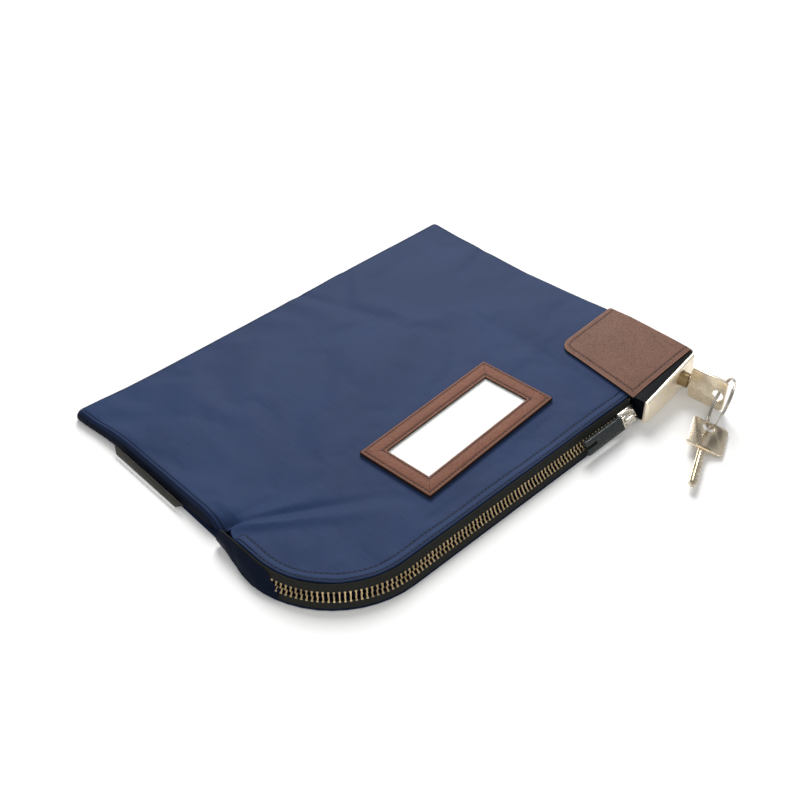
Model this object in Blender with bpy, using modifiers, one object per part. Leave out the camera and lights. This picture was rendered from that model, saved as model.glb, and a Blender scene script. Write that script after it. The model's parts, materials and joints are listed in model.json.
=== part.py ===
"""Locking zip bag for cash deposits, 12 x 9 in, lying flat.

Frame: metres, +Z up. X runs along the zip edge, the zip edge faces -Y, and the bag rests on its
underside at z = 0 with the origin at the middle of its rectangle.
"""
import math

import bpy
import bmesh
from mathutils import Matrix, Vector

MM = 0.001

# ---- bag ----
BAG_LENGTH = 304.8 * MM
BAG_WIDTH = 226.4 * MM
LEFT_X = -151.0 * MM
RIGHT_X = 152.0 * MM
FRONT_Y = -BAG_WIDTH / 2
BACK_Y = BAG_WIDTH / 2
CORNER_RADIUS = 55.0 * MM
CORNER_X = LEFT_X + CORNER_RADIUS
CORNER_Y = FRONT_Y + CORNER_RADIUS
CLOTH = 1.0 * MM
BACK_HEIGHT = 7.5 * MM
FRONT_HEIGHT = 13.0 * MM
LOCK_RISE = 7.0 * MM
RISE_START_X = 88.0 * MM
RISE_END_X = 150.0 * MM
RISE_POWER = 0.7
SLOPE_START_Y = 90.0 * MM
SLOPE_END_Y = -105.0 * MM
RISE_START_Y = 20.0 * MM
RISE_FULL_Y = -70.0 * MM
WALL_RADIUS = 5.0 * MM
WALL_FOOT = 1.6 * MM
SIDE_WALL_START_Y = -30.0 * MM
SIDE_WALL_FULL_Y = -22.0 * MM

# ---- zip ----
ZIP_START_X = 90.4 * MM
ZIP_END_Y = -27.0 * MM
ZIP_GAP = 0.5 * MM
ZIP_SPREAD = 7.2 * MM
ZIP_SPREAD_END = 1.2 * MM
ZIP_FOOT = 1.6 * MM
ZIP_TOP_DROP = 0.5 * MM
TAPE = 0.7 * MM
TOOTH_PITCH = 2.8 * MM
TOOTH_DEPTH = 1.5 * MM
UPPER_TAPE = (0.0, 0.37)
TEETH = (0.395, 0.84)
LOWER_TAPE = (0.865, 1.0)
TEETH_GAP = 0.55 * MM

# ---- leatherette corner ----
PATCH_X = 98.0 * MM
PATCH_Y = -53.0 * MM
PATCH = 1.2 * MM
PATCH_LIFT = 0.45 * MM

# ---- card frame ----
LABEL_AT = (-1.1 * MM, -60.0 * MM)
LABEL_TURN = math.radians(3.8)
LABEL_SIZE = (112.0 * MM, 54.0 * MM)
LABEL_OPENING = (89.0 * MM, 32.0 * MM)
LABEL_RECESS = (97.0 * MM, 39.0 * MM)
CARD_SIZE = (95.0 * MM, 37.0 * MM)

# ---- tag in the left seam ----
TAG_LENGTH = 69.0 * MM
TAG_Y = 40.7 * MM

# ---- lock ----
LOCK_AT = Vector((132.0 * MM, -120.6 * MM, 0.0))
LOCK_TURN = math.radians(6.0)
AXIS_Z = 11.0 * MM
LOCK_LEFT = -39.5 * MM
LOCK_RIGHT = 15.0 * MM
LOCK_FACE = -1.5 * MM
FLANGE_BACK = 1.2 * MM
LOCK_BACK = 36.0 * MM
FACE_TOP = (15.5 * MM, 20.2 * MM)
CASE_TOP_FRONT = (12.4 * MM, 18.0 * MM)
CASE_TOP_BACK = (11.8 * MM, 17.5 * MM)
CASE_FOOT = 1.8 * MM
BARREL_RADIUS = 4.6 * MM
BORE_RADIUS = 4.75 * MM
PLUG_RADIUS = 3.6 * MM
PLUG_BORE = 3.72 * MM
BARREL_FRONT = -8.0 * MM
BARREL_BACK = 26.0 * MM
WAFERS = 4
WAFER_PITCH = 6.0 * MM
SPRING_TURNS = 5
SPRING_RADIUS = 3.0 * MM

# ---- slider and pull ----
SLIDER_X = 83.0 * MM
SLIDER_LENGTH = 14.0 * MM
SLIDER_HEIGHT = 10.0 * MM
PULL_REACH = 41.0 * MM

# ---- keys ----
BOW_LENGTH = 24.0 * MM
BOW_WIDTH = 22.6 * MM
BOW_OFFSET = 0.9 * MM
BLADE_LENGTH = 33.0 * MM
BLADE_WIDTH = 5.0 * MM
KEY_THICKNESS = 1.8 * MM
KEY_HOLE_RADIUS = 3.8 * MM
KEY_HOLE_INSET = 4.8 * MM
RING_RADIUS = 16.5 * MM
RING_WIRE = 0.6 * MM
RING_LEAN = math.radians(155.0)
KEY_2_HOLE = Vector((112.6 * MM, -158.6 * MM, 4.3 * MM))
KEY_2_ROLL = math.radians(-15.0)
KEY_2_HEADING = math.radians(205.2)


# ---------------------------------------------------------------- scene and helpers

for old in list(bpy.data.objects):
    bpy.data.objects.remove(old, do_unlink=True)

PARTS = bpy.data.collections.new("cash_deposit_bag")
CUTTERS = bpy.data.collections.new("cutters")
bpy.context.scene.collection.children.link(PARTS)
bpy.context.scene.collection.children.link(CUTTERS)


def material(name, colour, roughness, metallic=0.0, alpha=1.0):
    """A Principled material with one finish."""
    made = bpy.data.materials.new(name)
    made.use_nodes = True
    shader = made.node_tree.nodes["Principled BSDF"]
    shader.inputs["Base Color"].default_value = (*colour, 1.0)
    shader.inputs["Roughness"].default_value = roughness
    shader.inputs["Metallic"].default_value = metallic
    shader.inputs["Alpha"].default_value = alpha
    return made


NYLON = material("navy_nylon", (0.045, 0.065, 0.15), 0.55)
TAPE_CLOTH = material("zip_tape", (0.02, 0.02, 0.02), 0.8)
TEETH_BRASS = material("antique_brass", (0.45, 0.33, 0.16), 0.4, 1.0)
LEATHERETTE = material("brown_leatherette", (0.2, 0.09, 0.06), 0.5)
CLEAR = material("clear_vinyl", (0.9, 0.92, 0.92), 0.1, 0.0, 0.3)
CARD = material("white_card", (0.9, 0.9, 0.88), 0.7)
NICKEL = material("nickel_plate", (0.75, 0.7, 0.63), 0.22, 1.0)
STEEL = material("spring_steel", (0.5, 0.5, 0.5), 0.35, 1.0)
BARREL_BRASS = material("barrel_brass", (0.4, 0.3, 0.17), 0.35, 1.0)
SLEEVE = material("grey_plastic", (0.2, 0.24, 0.24), 0.3, 0.0, 0.75)


def lerp(a, b, t):
    """The value a share t of the way from a to b."""
    return a + (b - a) * t


def clamp01(t):
    """t held between 0 and 1."""
    return max(0.0, min(1.0, t))


def spaced(a, b, count):
    """count even steps from a up to, but not including, b."""
    return [lerp(a, b, i / count) for i in range(count)]


def empty(name, matrix):
    """A frame for parts that share a place and a turn."""
    frame = bpy.data.objects.new(name, None)
    PARTS.objects.link(frame)
    frame.matrix_world = matrix
    return frame


def finish(name, mesh, look, parent=None, place=None):
    """Names a mesh, gives it its look and puts it in its frame."""
    made = bpy.data.objects.new(name, mesh)
    mesh.materials.clear()
    mesh.materials.append(look)
    PARTS.objects.link(made)
    made.parent = parent
    made.matrix_local = place if place is not None else Matrix.Identity(4)
    return made


def mesh_from(bm, name):
    """A mesh from a bmesh, which is freed."""
    mesh = bpy.data.meshes.new(name)
    bm.to_mesh(mesh)
    bm.free()
    return mesh


def box_mesh(name, low, high, tops=None):
    """A box between two corners; tops gives the height at (left front, right front, left back,
    right back) where the roof slopes."""
    bm = bmesh.new()
    bmesh.ops.create_cube(bm, size=1.0)
    for vert in bm.verts:
        right, back, up = (value > 0 for value in vert.co)
        top = high[2] if tops is None else tops[right + 2 * back]
        vert.co = (high[0] if right else low[0], high[1] if back else low[1], top if up else low[2])
    return mesh_from(bm, name)


def cylinder_mesh(name, radius, start, end, segments=32):
    """A cylinder along Y."""
    bm = bmesh.new()
    bmesh.ops.create_cone(bm, cap_ends=True, segments=segments, radius1=radius, radius2=radius,
                          depth=end - start)
    turn = Matrix.Translation((0, (start + end) / 2, 0)) @ Matrix.Rotation(math.radians(90), 4, "X")
    bm.transform(turn)
    return mesh_from(bm, name)


def outline_mesh(name, points, thickness):
    """A flat outline in XY, thick along Z and centred on it."""
    curve = bpy.data.curves.new(name, "CURVE")
    curve.dimensions = "2D"
    curve.fill_mode = "BOTH"
    curve.extrude = thickness / 2
    spline = curve.splines.new("POLY")
    spline.points.add(len(points) - 1)
    for point, (x, y) in zip(spline.points, points):
        point.co = (x, y, 0, 1)
    spline.use_cyclic_u = True
    guide = bpy.data.objects.new(name + "_guide", curve)
    CUTTERS.objects.link(guide)
    depsgraph = bpy.context.evaluated_depsgraph_get()
    mesh = bpy.data.meshes.new_from_object(guide.evaluated_get(depsgraph))
    bpy.data.objects.remove(guide, do_unlink=True)
    bm = bmesh.new()
    bm.from_mesh(mesh)
    bmesh.ops.remove_doubles(bm, verts=bm.verts, dist=1e-6)
    bmesh.ops.recalc_face_normals(bm, faces=bm.faces)
    bpy.data.meshes.remove(mesh)
    return mesh_from(bm, name)


def combine(target, mesh, operation, place=None):
    """Cuts a mesh from the target, or joins it on, in the target's own frame."""
    helper = bpy.data.objects.new(target.name + "_" + mesh.name, mesh)
    CUTTERS.objects.link(helper)
    helper.parent = target
    helper.matrix_local = place if place is not None else Matrix.Identity(4)
    helper.hide_render = True
    helper.display_type = "WIRE"
    modifier = target.modifiers.new(mesh.name, "BOOLEAN")
    modifier.operation = operation
    modifier.solver = "EXACT"
    modifier.object = helper


def tube(name, points, radius, look, parent=None, place=None, closed=False):
    """A round wire through points."""
    curve = bpy.data.curves.new(name, "CURVE")
    curve.dimensions = "3D"
    curve.bevel_depth = radius
    curve.bevel_resolution = 2
    curve.use_fill_caps = True
    spline = curve.splines.new("POLY")
    spline.points.add(len(points) - 1)
    for point, position in zip(spline.points, points):
        point.co = (*position, 1)
    spline.use_cyclic_u = closed
    curve.materials.append(look)
    made = bpy.data.objects.new(name, curve)
    PARTS.objects.link(made)
    made.parent = parent
    made.matrix_local = place if place is not None else Matrix.Identity(4)
    weld = made.modifiers.new("weld", "WELD")
    weld.merge_threshold = 0.00001
    return made


# ---------------------------------------------------------------- the bag's shape

def cloth_height(x, y):
    """Height of the top cloth, before it turns down at the sewn edges."""
    slope = clamp01((SLOPE_START_Y - y) / (SLOPE_START_Y - SLOPE_END_Y))
    along = clamp01((x - RISE_START_X) / (RISE_END_X - RISE_START_X))
    forward = clamp01((RISE_START_Y - y) / (RISE_START_Y - RISE_FULL_Y))
    return lerp(BACK_HEIGHT, FRONT_HEIGHT, slope) + LOCK_RISE * along ** RISE_POWER * forward


def edge_roll(distance):
    """1 well inside the cloth, falling to 0 on a sewn edge along a quarter circle."""
    short = clamp01(1 - distance / WALL_RADIUS)
    return math.sqrt(max(0.0, 1 - short * short))


def round_corner(x, y):
    """Takes a point of the square corner at the blind end of the zip to the round one."""
    a = (CORNER_X - x) / CORNER_RADIUS
    b = (CORNER_Y - y) / CORNER_RADIUS
    if a <= 0 or b <= 0:
        return x, y
    return (CORNER_X - CORNER_RADIUS * a * math.sqrt(1 - b * b / 2),
            CORNER_Y - CORNER_RADIUS * b * math.sqrt(1 - a * a / 2))


def cloth_point(x, y):
    """A point of the top cloth."""
    walled = clamp01((y - SIDE_WALL_START_Y) / (SIDE_WALL_FULL_Y - SIDE_WALL_START_Y))
    left = lerp(1.0, edge_roll(x - LEFT_X), walled)
    roll = left * edge_roll(RIGHT_X - x) * edge_roll(BACK_Y - y)
    px, py = round_corner(x, y)
    return Vector((px, py, lerp(WALL_FOOT, cloth_height(px, py), roll)))


RIGHT_COLUMNS = [RIGHT_X - WALL_RADIUS] + [RIGHT_X - WALL_RADIUS * (1 - math.sin(math.radians(a)))
                                           for a in (30, 60, 90)]
PATCH_COLUMNS = spaced(PATCH_X, RIGHT_X - WALL_RADIUS, 4) + RIGHT_COLUMNS
COLUMNS = ([LEFT_X + WALL_RADIUS * (1 - math.sin(math.radians(a))) for a in (90, 60, 30)]
           + spaced(LEFT_X + WALL_RADIUS, CORNER_X, 5) + spaced(CORNER_X, RISE_START_X, 5)
           + spaced(RISE_START_X, PATCH_X, 2) + PATCH_COLUMNS)
PATCH_ROWS = spaced(FRONT_Y, RISE_FULL_Y, 4) + spaced(RISE_FULL_Y, CORNER_Y, 1) + [CORNER_Y, PATCH_Y]
ROWS = (PATCH_ROWS + spaced(SIDE_WALL_START_Y, SIDE_WALL_FULL_Y, 1)
        + spaced(SIDE_WALL_FULL_Y, RISE_START_Y, 2) + spaced(RISE_START_Y, SLOPE_START_Y, 2)
        + [SLOPE_START_Y]
        + [BACK_Y - WALL_RADIUS * (1 - math.sin(math.radians(a))) for a in (0, 30, 60, 90)])


def cloth_sheet(name, columns, rows, thickness, side, lift, look):
    """A sheet that follows the top cloth, lifted off it, with its thickness inside or outside."""
    bm = bmesh.new()
    bmesh.ops.create_grid(bm, x_segments=len(columns) - 1, y_segments=len(rows) - 1, size=0.5)
    for vert in bm.verts:
        column = round((vert.co.x + 0.5) * (len(columns) - 1))
        row = round((vert.co.y + 0.5) * (len(rows) - 1))
        vert.co = cloth_point(columns[column], rows[row])
    bm.normal_update()
    shifts = [vert.normal * lift for vert in bm.verts]
    for vert, shift in zip(bm.verts, shifts):
        vert.co += shift
    made = finish(name, mesh_from(bm, name), look)
    shell = made.modifiers.new("thickness", "SOLIDIFY")
    shell.thickness = thickness
    shell.offset = side
    return made


def zip_place(run):
    """Where the zip edge is a length run from the lock, and which way is outward."""
    straight = ZIP_START_X - CORNER_X
    arc = CORNER_RADIUS * math.pi / 2
    if run <= straight:
        return Vector((ZIP_START_X - run, FRONT_Y, 0)), Vector((0, -1, 0))
    if run <= straight + arc:
        turn = (run - straight) / CORNER_RADIUS
        outward = Vector((-math.sin(turn), -math.cos(turn), 0))
        return Vector((CORNER_X, CORNER_Y, 0)) + outward * CORNER_RADIUS, outward
    return Vector((LEFT_X, CORNER_Y + run - straight - arc, 0)), Vector((-1, 0, 0))


ZIP_LENGTH = (ZIP_START_X - CORNER_X) + CORNER_RADIUS * math.pi / 2 + (ZIP_END_Y - CORNER_Y)


def zip_spread(run):
    """How far the zip band leans out at its foot; it closes up on the left side."""
    last = ZIP_END_Y - CORNER_Y
    return lerp(ZIP_SPREAD, ZIP_SPREAD_END, clamp01((run - ZIP_LENGTH + last) / last))


def zip_point(run, across):
    """A point of the zip band: across is 0 at the top cloth and 1 at the bottom one."""
    edge, outward = zip_place(run)
    top = cloth_height(edge.x, edge.y) - ZIP_TOP_DROP
    point = edge + outward * (ZIP_GAP + zip_spread(run) * across)
    point.z = lerp(top, ZIP_FOOT, across)
    return point


def band(name, runs, low, high, thickness, look):
    """A strip of the zip band; low and high give its edges at each run."""
    bm = bmesh.new()
    bmesh.ops.create_grid(bm, x_segments=len(runs) - 1, y_segments=1, size=0.5)
    for vert in bm.verts:
        step = round((vert.co.x + 0.5) * (len(runs) - 1))
        across = high(step) if vert.co.y > 0 else low(step)
        vert.co = zip_point(runs[step], across)
    made = finish(name, mesh_from(bm, name), look)
    shell = made.modifiers.new("thickness", "SOLIDIFY")
    shell.thickness = thickness
    shell.offset = 0.0
    return made


# ---------------------------------------------------------------- bag parts

def build_panels():
    """The two cloth panels."""
    cloth_sheet("top_panel", COLUMNS, ROWS, CLOTH, -1.0, 0.0, NYLON)
    reach = ZIP_GAP + 0.5 * MM
    steps = 44
    outline = []
    for i in range(steps + 1):
        run = ZIP_LENGTH * i / steps
        edge, outward = zip_place(run)
        point = edge + outward * (reach + zip_spread(run))
        outline.append((point.x, point.y))
    half = BAG_LENGTH / 2
    outline += [(-half, SIDE_WALL_FULL_Y), (-half, BACK_Y), (half, BACK_Y),
                (half, PATCH_Y + 0.4 * MM), (PATCH_X - 0.4 * MM, PATCH_Y + 0.4 * MM),
                (PATCH_X - 0.4 * MM, FRONT_Y - 0.2 * MM), (ZIP_START_X, FRONT_Y - 0.2 * MM)]
    finish("bottom_panel", outline_mesh("bottom_panel", outline, CLOTH), NYLON,
           place=Matrix.Translation((0, 0, CLOTH / 2)))


def build_zip():
    """Tapes, rows of teeth and stops."""
    plain = [ZIP_LENGTH * i / 44 for i in range(45)]
    band("upper_zip_tape", plain, lambda i: UPPER_TAPE[0], lambda i: UPPER_TAPE[1], TAPE, TAPE_CLOTH)
    band("lower_zip_tape", plain, lambda i: LOWER_TAPE[0], lambda i: LOWER_TAPE[1], TAPE, TAPE_CLOTH)
    slant = math.hypot(ZIP_SPREAD, FRONT_HEIGHT - ZIP_FOOT)
    first, last = 2.0 * MM, ZIP_LENGTH - 6.0 * MM
    count = 2 * int((last - first) / TOOTH_PITCH)
    runs = [first + TOOTH_PITCH * i / 2 for i in range(count + 1)]
    middle = (TEETH[0] + TEETH[1]) / 2
    depth = TOOTH_DEPTH / slant / 2
    gap = TEETH_GAP / slant / 2

    def zigzag(step, shift):
        return middle + shift + (depth if step % 2 else -depth)

    band("upper_teeth", runs, lambda i: TEETH[0], lambda i: zigzag(i, -gap), 1.6 * MM, TEETH_BRASS)
    band("lower_teeth", runs, lambda i: zigzag(i, gap), lambda i: TEETH[1], 1.6 * MM, TEETH_BRASS)
    ends = [last + 1.0 * MM, last + 4.5 * MM]
    band("zip_end_box", ends, lambda i: TEETH[0] + 0.03, lambda i: TEETH[1] - 0.03, 2.2 * MM, TEETH_BRASS)
    starts = [0.2 * MM, 1.6 * MM]
    band("zip_top_stop", starts, lambda i: TEETH[0] + 0.03, lambda i: TEETH[1] - 0.03, 1.6 * MM, TEETH_BRASS)


def build_corner_patches():
    """The leatherette corner, over and under the lock."""
    cloth_sheet("corner_patch_top", PATCH_COLUMNS, PATCH_ROWS, PATCH, 1.0, PATCH_LIFT, LEATHERETTE)
    low = (PATCH_X, FRONT_Y, 0.0)
    high = (RIGHT_X - 0.3 * MM, PATCH_Y, PATCH)
    finish("corner_patch_bottom", box_mesh("corner_patch_bottom", low, high), LEATHERETTE)


def build_label():
    """The stitched frame, its clear window and the card behind it."""
    x, y = LABEL_AT
    tilt = math.atan((FRONT_HEIGHT - BACK_HEIGHT) / (SLOPE_START_Y - SLOPE_END_Y))
    place = (Matrix.Translation((x, y, cloth_height(x, y))) @ Matrix.Rotation(-tilt, 4, "X")
             @ Matrix.Rotation(LABEL_TURN, 4, "Z"))
    frame = empty("label_place", place)

    def slab(name, size, low, high):
        return box_mesh(name, (-size[0] / 2, -size[1] / 2, low), (size[0] / 2, size[1] / 2, high))

    border = finish("label_frame", slab("border", LABEL_SIZE, 0.3 * MM, 2.3 * MM), LEATHERETTE, frame)
    combine(border, slab("recess", LABEL_RECESS, -1.0 * MM, 1.5 * MM), "DIFFERENCE")
    combine(border, slab("opening", LABEL_OPENING, -1.0 * MM, 4.0 * MM), "DIFFERENCE")
    finish("label_card", slab("label_card", CARD_SIZE, 0.4 * MM, 0.75 * MM), CARD, frame)
    finish("label_window", slab("label_window", CARD_SIZE, 0.95 * MM, 1.25 * MM), CLEAR, frame)


def build_side_tag():
    """The clear tag in the left seam and the white slip along its fold."""
    place = (Matrix.Translation((-BAG_LENGTH / 2 - 2.3 * MM, TAG_Y, 2.7 * MM))
             @ Matrix.Rotation(math.radians(-48), 4, "Y"))
    frame = empty("tag_place", place)
    half = TAG_LENGTH / 2
    taper = 5.0 * MM
    sleeve = [(-1.2 * MM, -half + taper), (2.6 * MM, -half), (2.6 * MM, half), (-1.2 * MM, half - taper)]
    finish("side_tag_sleeve", outline_mesh("side_tag_sleeve", sleeve, 0.5 * MM), CLEAR, frame)
    slip = box_mesh("side_tag_insert", (-2.4 * MM, -half + taper, -0.4 * MM),
                    (-1.5 * MM, half - taper, 0.4 * MM))
    finish("side_tag_insert", slip, CARD, frame)


# ---------------------------------------------------------------- slider

def slider_frame():
    """On the middle of the teeth: X along the zip, Z up the band, -Y straight out of it."""
    middle = zip_point(ZIP_START_X - SLIDER_X, (TEETH[0] + TEETH[1]) / 2)
    top, foot = zip_point(0.0, 0.0), zip_point(0.0, 1.0)
    lean = math.atan2(top.y - foot.y, top.z - foot.z)
    return empty("slider_place", Matrix.Translation(middle) @ Matrix.Rotation(-lean, 4, "X"))


def build_slider():
    """The slider's plates, bridge and lug, and the pull with its sleeve."""
    frame = slider_frame()
    half = SLIDER_LENGTH / 2
    rise = SLIDER_HEIGHT / 2
    face, seat, lip = -2.9 * MM, -1.3 * MM, -0.75 * MM
    profile = [(face, -rise), (lip, -rise), (lip, -rise + 0.9 * MM), (seat, -rise + 0.9 * MM),
               (seat, rise - 0.9 * MM), (lip, rise - 0.9 * MM), (lip, rise), (face, rise)]
    along_x = Matrix(((0, 0, 1, 0), (1, 0, 0, 0), (0, 1, 0, 0), (0, 0, 0, 1)))
    front = outline_mesh("slider_front_plate", profile, SLIDER_LENGTH)
    finish("slider_front_plate", front, NICKEL, frame, along_x)
    back = box_mesh("slider_back_plate", (-half, 1.3 * MM, -2.6 * MM), (half, 2.4 * MM, rise - 0.6 * MM))
    finish("slider_back_plate", back, NICKEL, frame)

    reach, foot = -6.0 * MM, -3.95 * MM
    arch = [(-4.0 * MM, foot, 0)]
    arch += [(-4.0 * MM * math.cos(math.radians(a)), lerp(foot, reach, math.sin(math.radians(a))), 0)
             for a in range(30, 160, 30)]
    arch += [(4.0 * MM, foot, 0)]
    tube("slider_bridge", arch, 0.7 * MM, NICKEL, frame)

    lug = box_mesh("slider_lug", (84.0 * MM, -112.0 * MM, 7.6 * MM), (97.9 * MM, -111.0 * MM, 11.4 * MM))
    lug = finish("slider_lug", lug, STEEL)
    combine(lug, box_mesh("foot", (84.0 * MM, -113.6 * MM, 7.6 * MM), (88.5 * MM, -111.5 * MM, 8.6 * MM)),
            "UNION")
    eye = Matrix.Translation((95.45 * MM, -111.5 * MM, 9.5 * MM))
    combine(lug, cylinder_mesh("eye", 1.55 * MM, -2 * MM, 2 * MM, 16), "DIFFERENCE", eye)

    pin = Matrix.Translation((0, -4.5 * MM, 0))
    hinge = bpy.data.objects.new("pull_place", None)
    PARTS.objects.link(hinge)
    hinge.parent = frame
    hinge.matrix_local = pin
    flat = Matrix.Rotation(math.radians(90), 4, "X")
    prong, slot = 2.4 * MM, 1.0 * MM
    fork = [(1.1 * MM, prong), (-16.0 * MM, prong), (-16.0 * MM, -prong), (1.1 * MM, -prong),
            (1.1 * MM, -slot), (-5.6 * MM, -slot), (-5.6 * MM, slot), (1.1 * MM, slot)]
    finish("pull_tab", outline_mesh("pull_tab", fork, 1.0 * MM), NICKEL, hinge, flat)
    sleeve = finish("pull_sleeve", box_mesh("sleeve", (-PULL_REACH, -1.7 * MM, -4.3 * MM),
                                            (-8.0 * MM, 1.5 * MM, 4.3 * MM)), SLEEVE, hinge)
    combine(sleeve, box_mesh("pocket", (-17.0 * MM, -0.9 * MM, -2.9 * MM), (-7.0 * MM, 0.9 * MM, 2.9 * MM)),
            "DIFFERENCE")
    combine(sleeve, box_mesh("notch", (-PULL_REACH - 1 * MM, -3 * MM, -0.6 * MM),
                             (-32.0 * MM, 3 * MM, 1.2 * MM)), "DIFFERENCE")


# ---------------------------------------------------------------- lock

def build_lock():
    """The lock: case, cover, barrel, plug, wafers, spring and latch arm. Local -Y points out."""
    frame = empty("lock_place", Matrix.Translation(LOCK_AT) @ Matrix.Rotation(LOCK_TURN, 4, "Z"))
    axis = empty("cylinder_axis", Matrix.Identity(4))
    axis.parent = frame
    axis.matrix_local = Matrix.Translation((0, 0, AXIS_Z))

    front = box_mesh("front", (LOCK_LEFT, LOCK_FACE, 0.4 * MM), (LOCK_RIGHT, FLANGE_BACK, 0),
                     (FACE_TOP[0], FACE_TOP[1], FACE_TOP[0], FACE_TOP[1]))
    case = finish("lock_housing", front, NICKEL, frame)
    rear = box_mesh("rear", (LOCK_LEFT + 0.5 * MM, FLANGE_BACK - 1 * MM, CASE_FOOT),
                    (LOCK_RIGHT - 1 * MM, LOCK_BACK, 0), CASE_TOP_FRONT + CASE_TOP_BACK)
    combine(case, rear, "UNION")
    roof = 0.9 * MM
    tops = [height - roof for height in CASE_TOP_FRONT + CASE_TOP_BACK]
    cavity = box_mesh("cavity", (LOCK_LEFT + 2 * MM, FLANGE_BACK - 0.5 * MM, CASE_FOOT + 1.2 * MM),
                      (LOCK_RIGHT - 2.2 * MM, LOCK_BACK + 1 * MM, 0), tops)
    combine(case, cavity, "DIFFERENCE")
    bore = cylinder_mesh("bore", BORE_RADIUS, LOCK_FACE - 2 * MM, LOCK_BACK + 1 * MM)
    combine(case, bore, "DIFFERENCE", Matrix.Translation((0, 0, AXIS_Z)))
    slot = box_mesh("lug_slot", (LOCK_LEFT - 2 * MM, 11.6 * MM, 7.0 * MM),
                    (LOCK_LEFT + 4 * MM, 15.0 * MM, 11.9 * MM))
    combine(case, slot, "DIFFERENCE")

    cover_tops = [height - 0.3 * MM for height in CASE_TOP_BACK]
    cover = box_mesh("lock_back_plate", (LOCK_LEFT + 0.8 * MM, LOCK_BACK + 0.3 * MM, CASE_FOOT + 0.3 * MM),
                     (LOCK_RIGHT - 1.3 * MM, LOCK_BACK + 1.3 * MM, 0), cover_tops * 2)
    finish("lock_back_plate", cover, STEEL, frame)

    barrel = finish("plunger_barrel", cylinder_mesh("barrel", BARREL_RADIUS, BARREL_FRONT, BARREL_BACK),
                    BARREL_BRASS, axis)
    combine(barrel, cylinder_mesh("plug_bore", PLUG_BORE, BARREL_FRONT - 1 * MM, BARREL_BACK + 1 * MM),
            "DIFFERENCE")

    plug = finish("cylinder_plug", cylinder_mesh("plug", PLUG_RADIUS, BARREL_FRONT, BARREL_BACK),
                  BARREL_BRASS, axis)
    tail = cylinder_mesh("tail", 1.5 * MM, BARREL_BACK - 1 * MM, BARREL_BACK + 0.9 * MM, 16)
    combine(plug, tail, "UNION")
    keyway = box_mesh("keyway", (-1.15 * MM, BARREL_FRONT - 1 * MM, -2.7 * MM),
                      (1.15 * MM, BARREL_FRONT + BLADE_LENGTH, 2.7 * MM))
    combine(plug, keyway, "DIFFERENCE")
    for number in range(WAFERS):
        at = Matrix.Translation((0, BARREL_FRONT + WAFER_PITCH * (number + 0.8), 0))
        gate = box_mesh("gate_%d" % (number + 1), (-2.1 * MM, -0.45 * MM, -5 * MM),
                        (2.1 * MM, 0.45 * MM, 5 * MM))
        combine(plug, gate, "DIFFERENCE", at)
        wafer = finish("wafer_%d" % (number + 1),
                       box_mesh("wafer", (-1.85 * MM, -0.25 * MM, -3.1 * MM),
                                (1.85 * MM, 0.25 * MM, 3.1 * MM)), STEEL, axis, at)
        combine(wafer, box_mesh("window", (-1.15 * MM, -1 * MM, -2.7 * MM),
                                (1.15 * MM, 1 * MM, 2.7 * MM)), "DIFFERENCE")

    clip = finish("plug_retainer", cylinder_mesh("clip", 4.4 * MM, BARREL_BACK + 0.3 * MM,
                                                 BARREL_BACK + 0.8 * MM, 24), STEEL, axis)
    combine(clip, cylinder_mesh("clip_hole", 1.7 * MM, BARREL_BACK - 1 * MM, BARREL_BACK + 2 * MM, 16),
            "DIFFERENCE")

    start, end = BARREL_BACK + 1.6 * MM, LOCK_BACK - 0.3 * MM
    turns = []
    for i in range(SPRING_TURNS * 12 + 1):
        angle = math.radians(30 * i)
        turns.append((SPRING_RADIUS * math.cos(angle), lerp(start, end, i / (SPRING_TURNS * 12)),
                      SPRING_RADIUS * math.sin(angle)))
    tube("plunger_spring", turns, 0.3 * MM, STEEL, axis)

    arm = finish("latch_arm", box_mesh("arm", (LOCK_LEFT + 2.4 * MM, 6.9 * MM, -3.6 * MM),
                                       (-BARREL_RADIUS - 0.35 * MM, 7.9 * MM, 0.2 * MM)), STEEL, axis)
    bolt = cylinder_mesh("bolt", 1.1 * MM, 7.6 * MM, 11.9 * MM, 16)
    combine(arm, bolt, "UNION", Matrix.Translation((LOCK_LEFT + 4.1 * MM, 0, 9.5 * MM - AXIS_Z)))
    return axis


# ---------------------------------------------------------------- keys

def key_mesh_parts(name, look, parent, place):
    """A flat key: X runs from the shoulder to the tip, the bow lies behind it, Z is its thickness."""
    low, high = BOW_OFFSET - BOW_WIDTH / 2, BOW_OFFSET + BOW_WIDTH / 2
    cut = 1.6 * MM
    blade = BLADE_WIDTH / 2
    shoulder, step = 0.6 * MM, 4.2 * MM
    outline = [(-BOW_LENGTH + cut, low), (-cut, low), (0, low + cut), (0, -step), (shoulder, -step),
               (shoulder, -blade), (BLADE_LENGTH - 2.2 * MM, -blade), (BLADE_LENGTH, -0.6 * MM),
               (BLADE_LENGTH - 1.2 * MM, blade * 0.55)]
    bites = 6
    for i in range(bites, 0, -1):
        x = 4.0 * MM + i * 3.8 * MM
        outline += [(x + 1.0 * MM, blade), (x - 0.9 * MM, blade - (0.9 + 0.35 * (i % 3)) * MM)]
    outline += [(3.0 * MM, blade), (shoulder, blade), (shoulder, step), (0, step), (0, high - cut),
                (-cut, high), (-BOW_LENGTH + cut, high), (-BOW_LENGTH, high - cut), (-BOW_LENGTH, low + cut)]
    key = finish(name, outline_mesh(name, outline, KEY_THICKNESS), look, parent, place)
    hole = cylinder_mesh("hole", KEY_HOLE_RADIUS, -3 * MM, 3 * MM, 20)
    at = (Matrix.Translation((KEY_HOLE_INSET - BOW_LENGTH, 0, 0))
          @ Matrix.Rotation(math.radians(90), 4, "X"))
    combine(key, hole, "DIFFERENCE", at)
    return key


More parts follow.
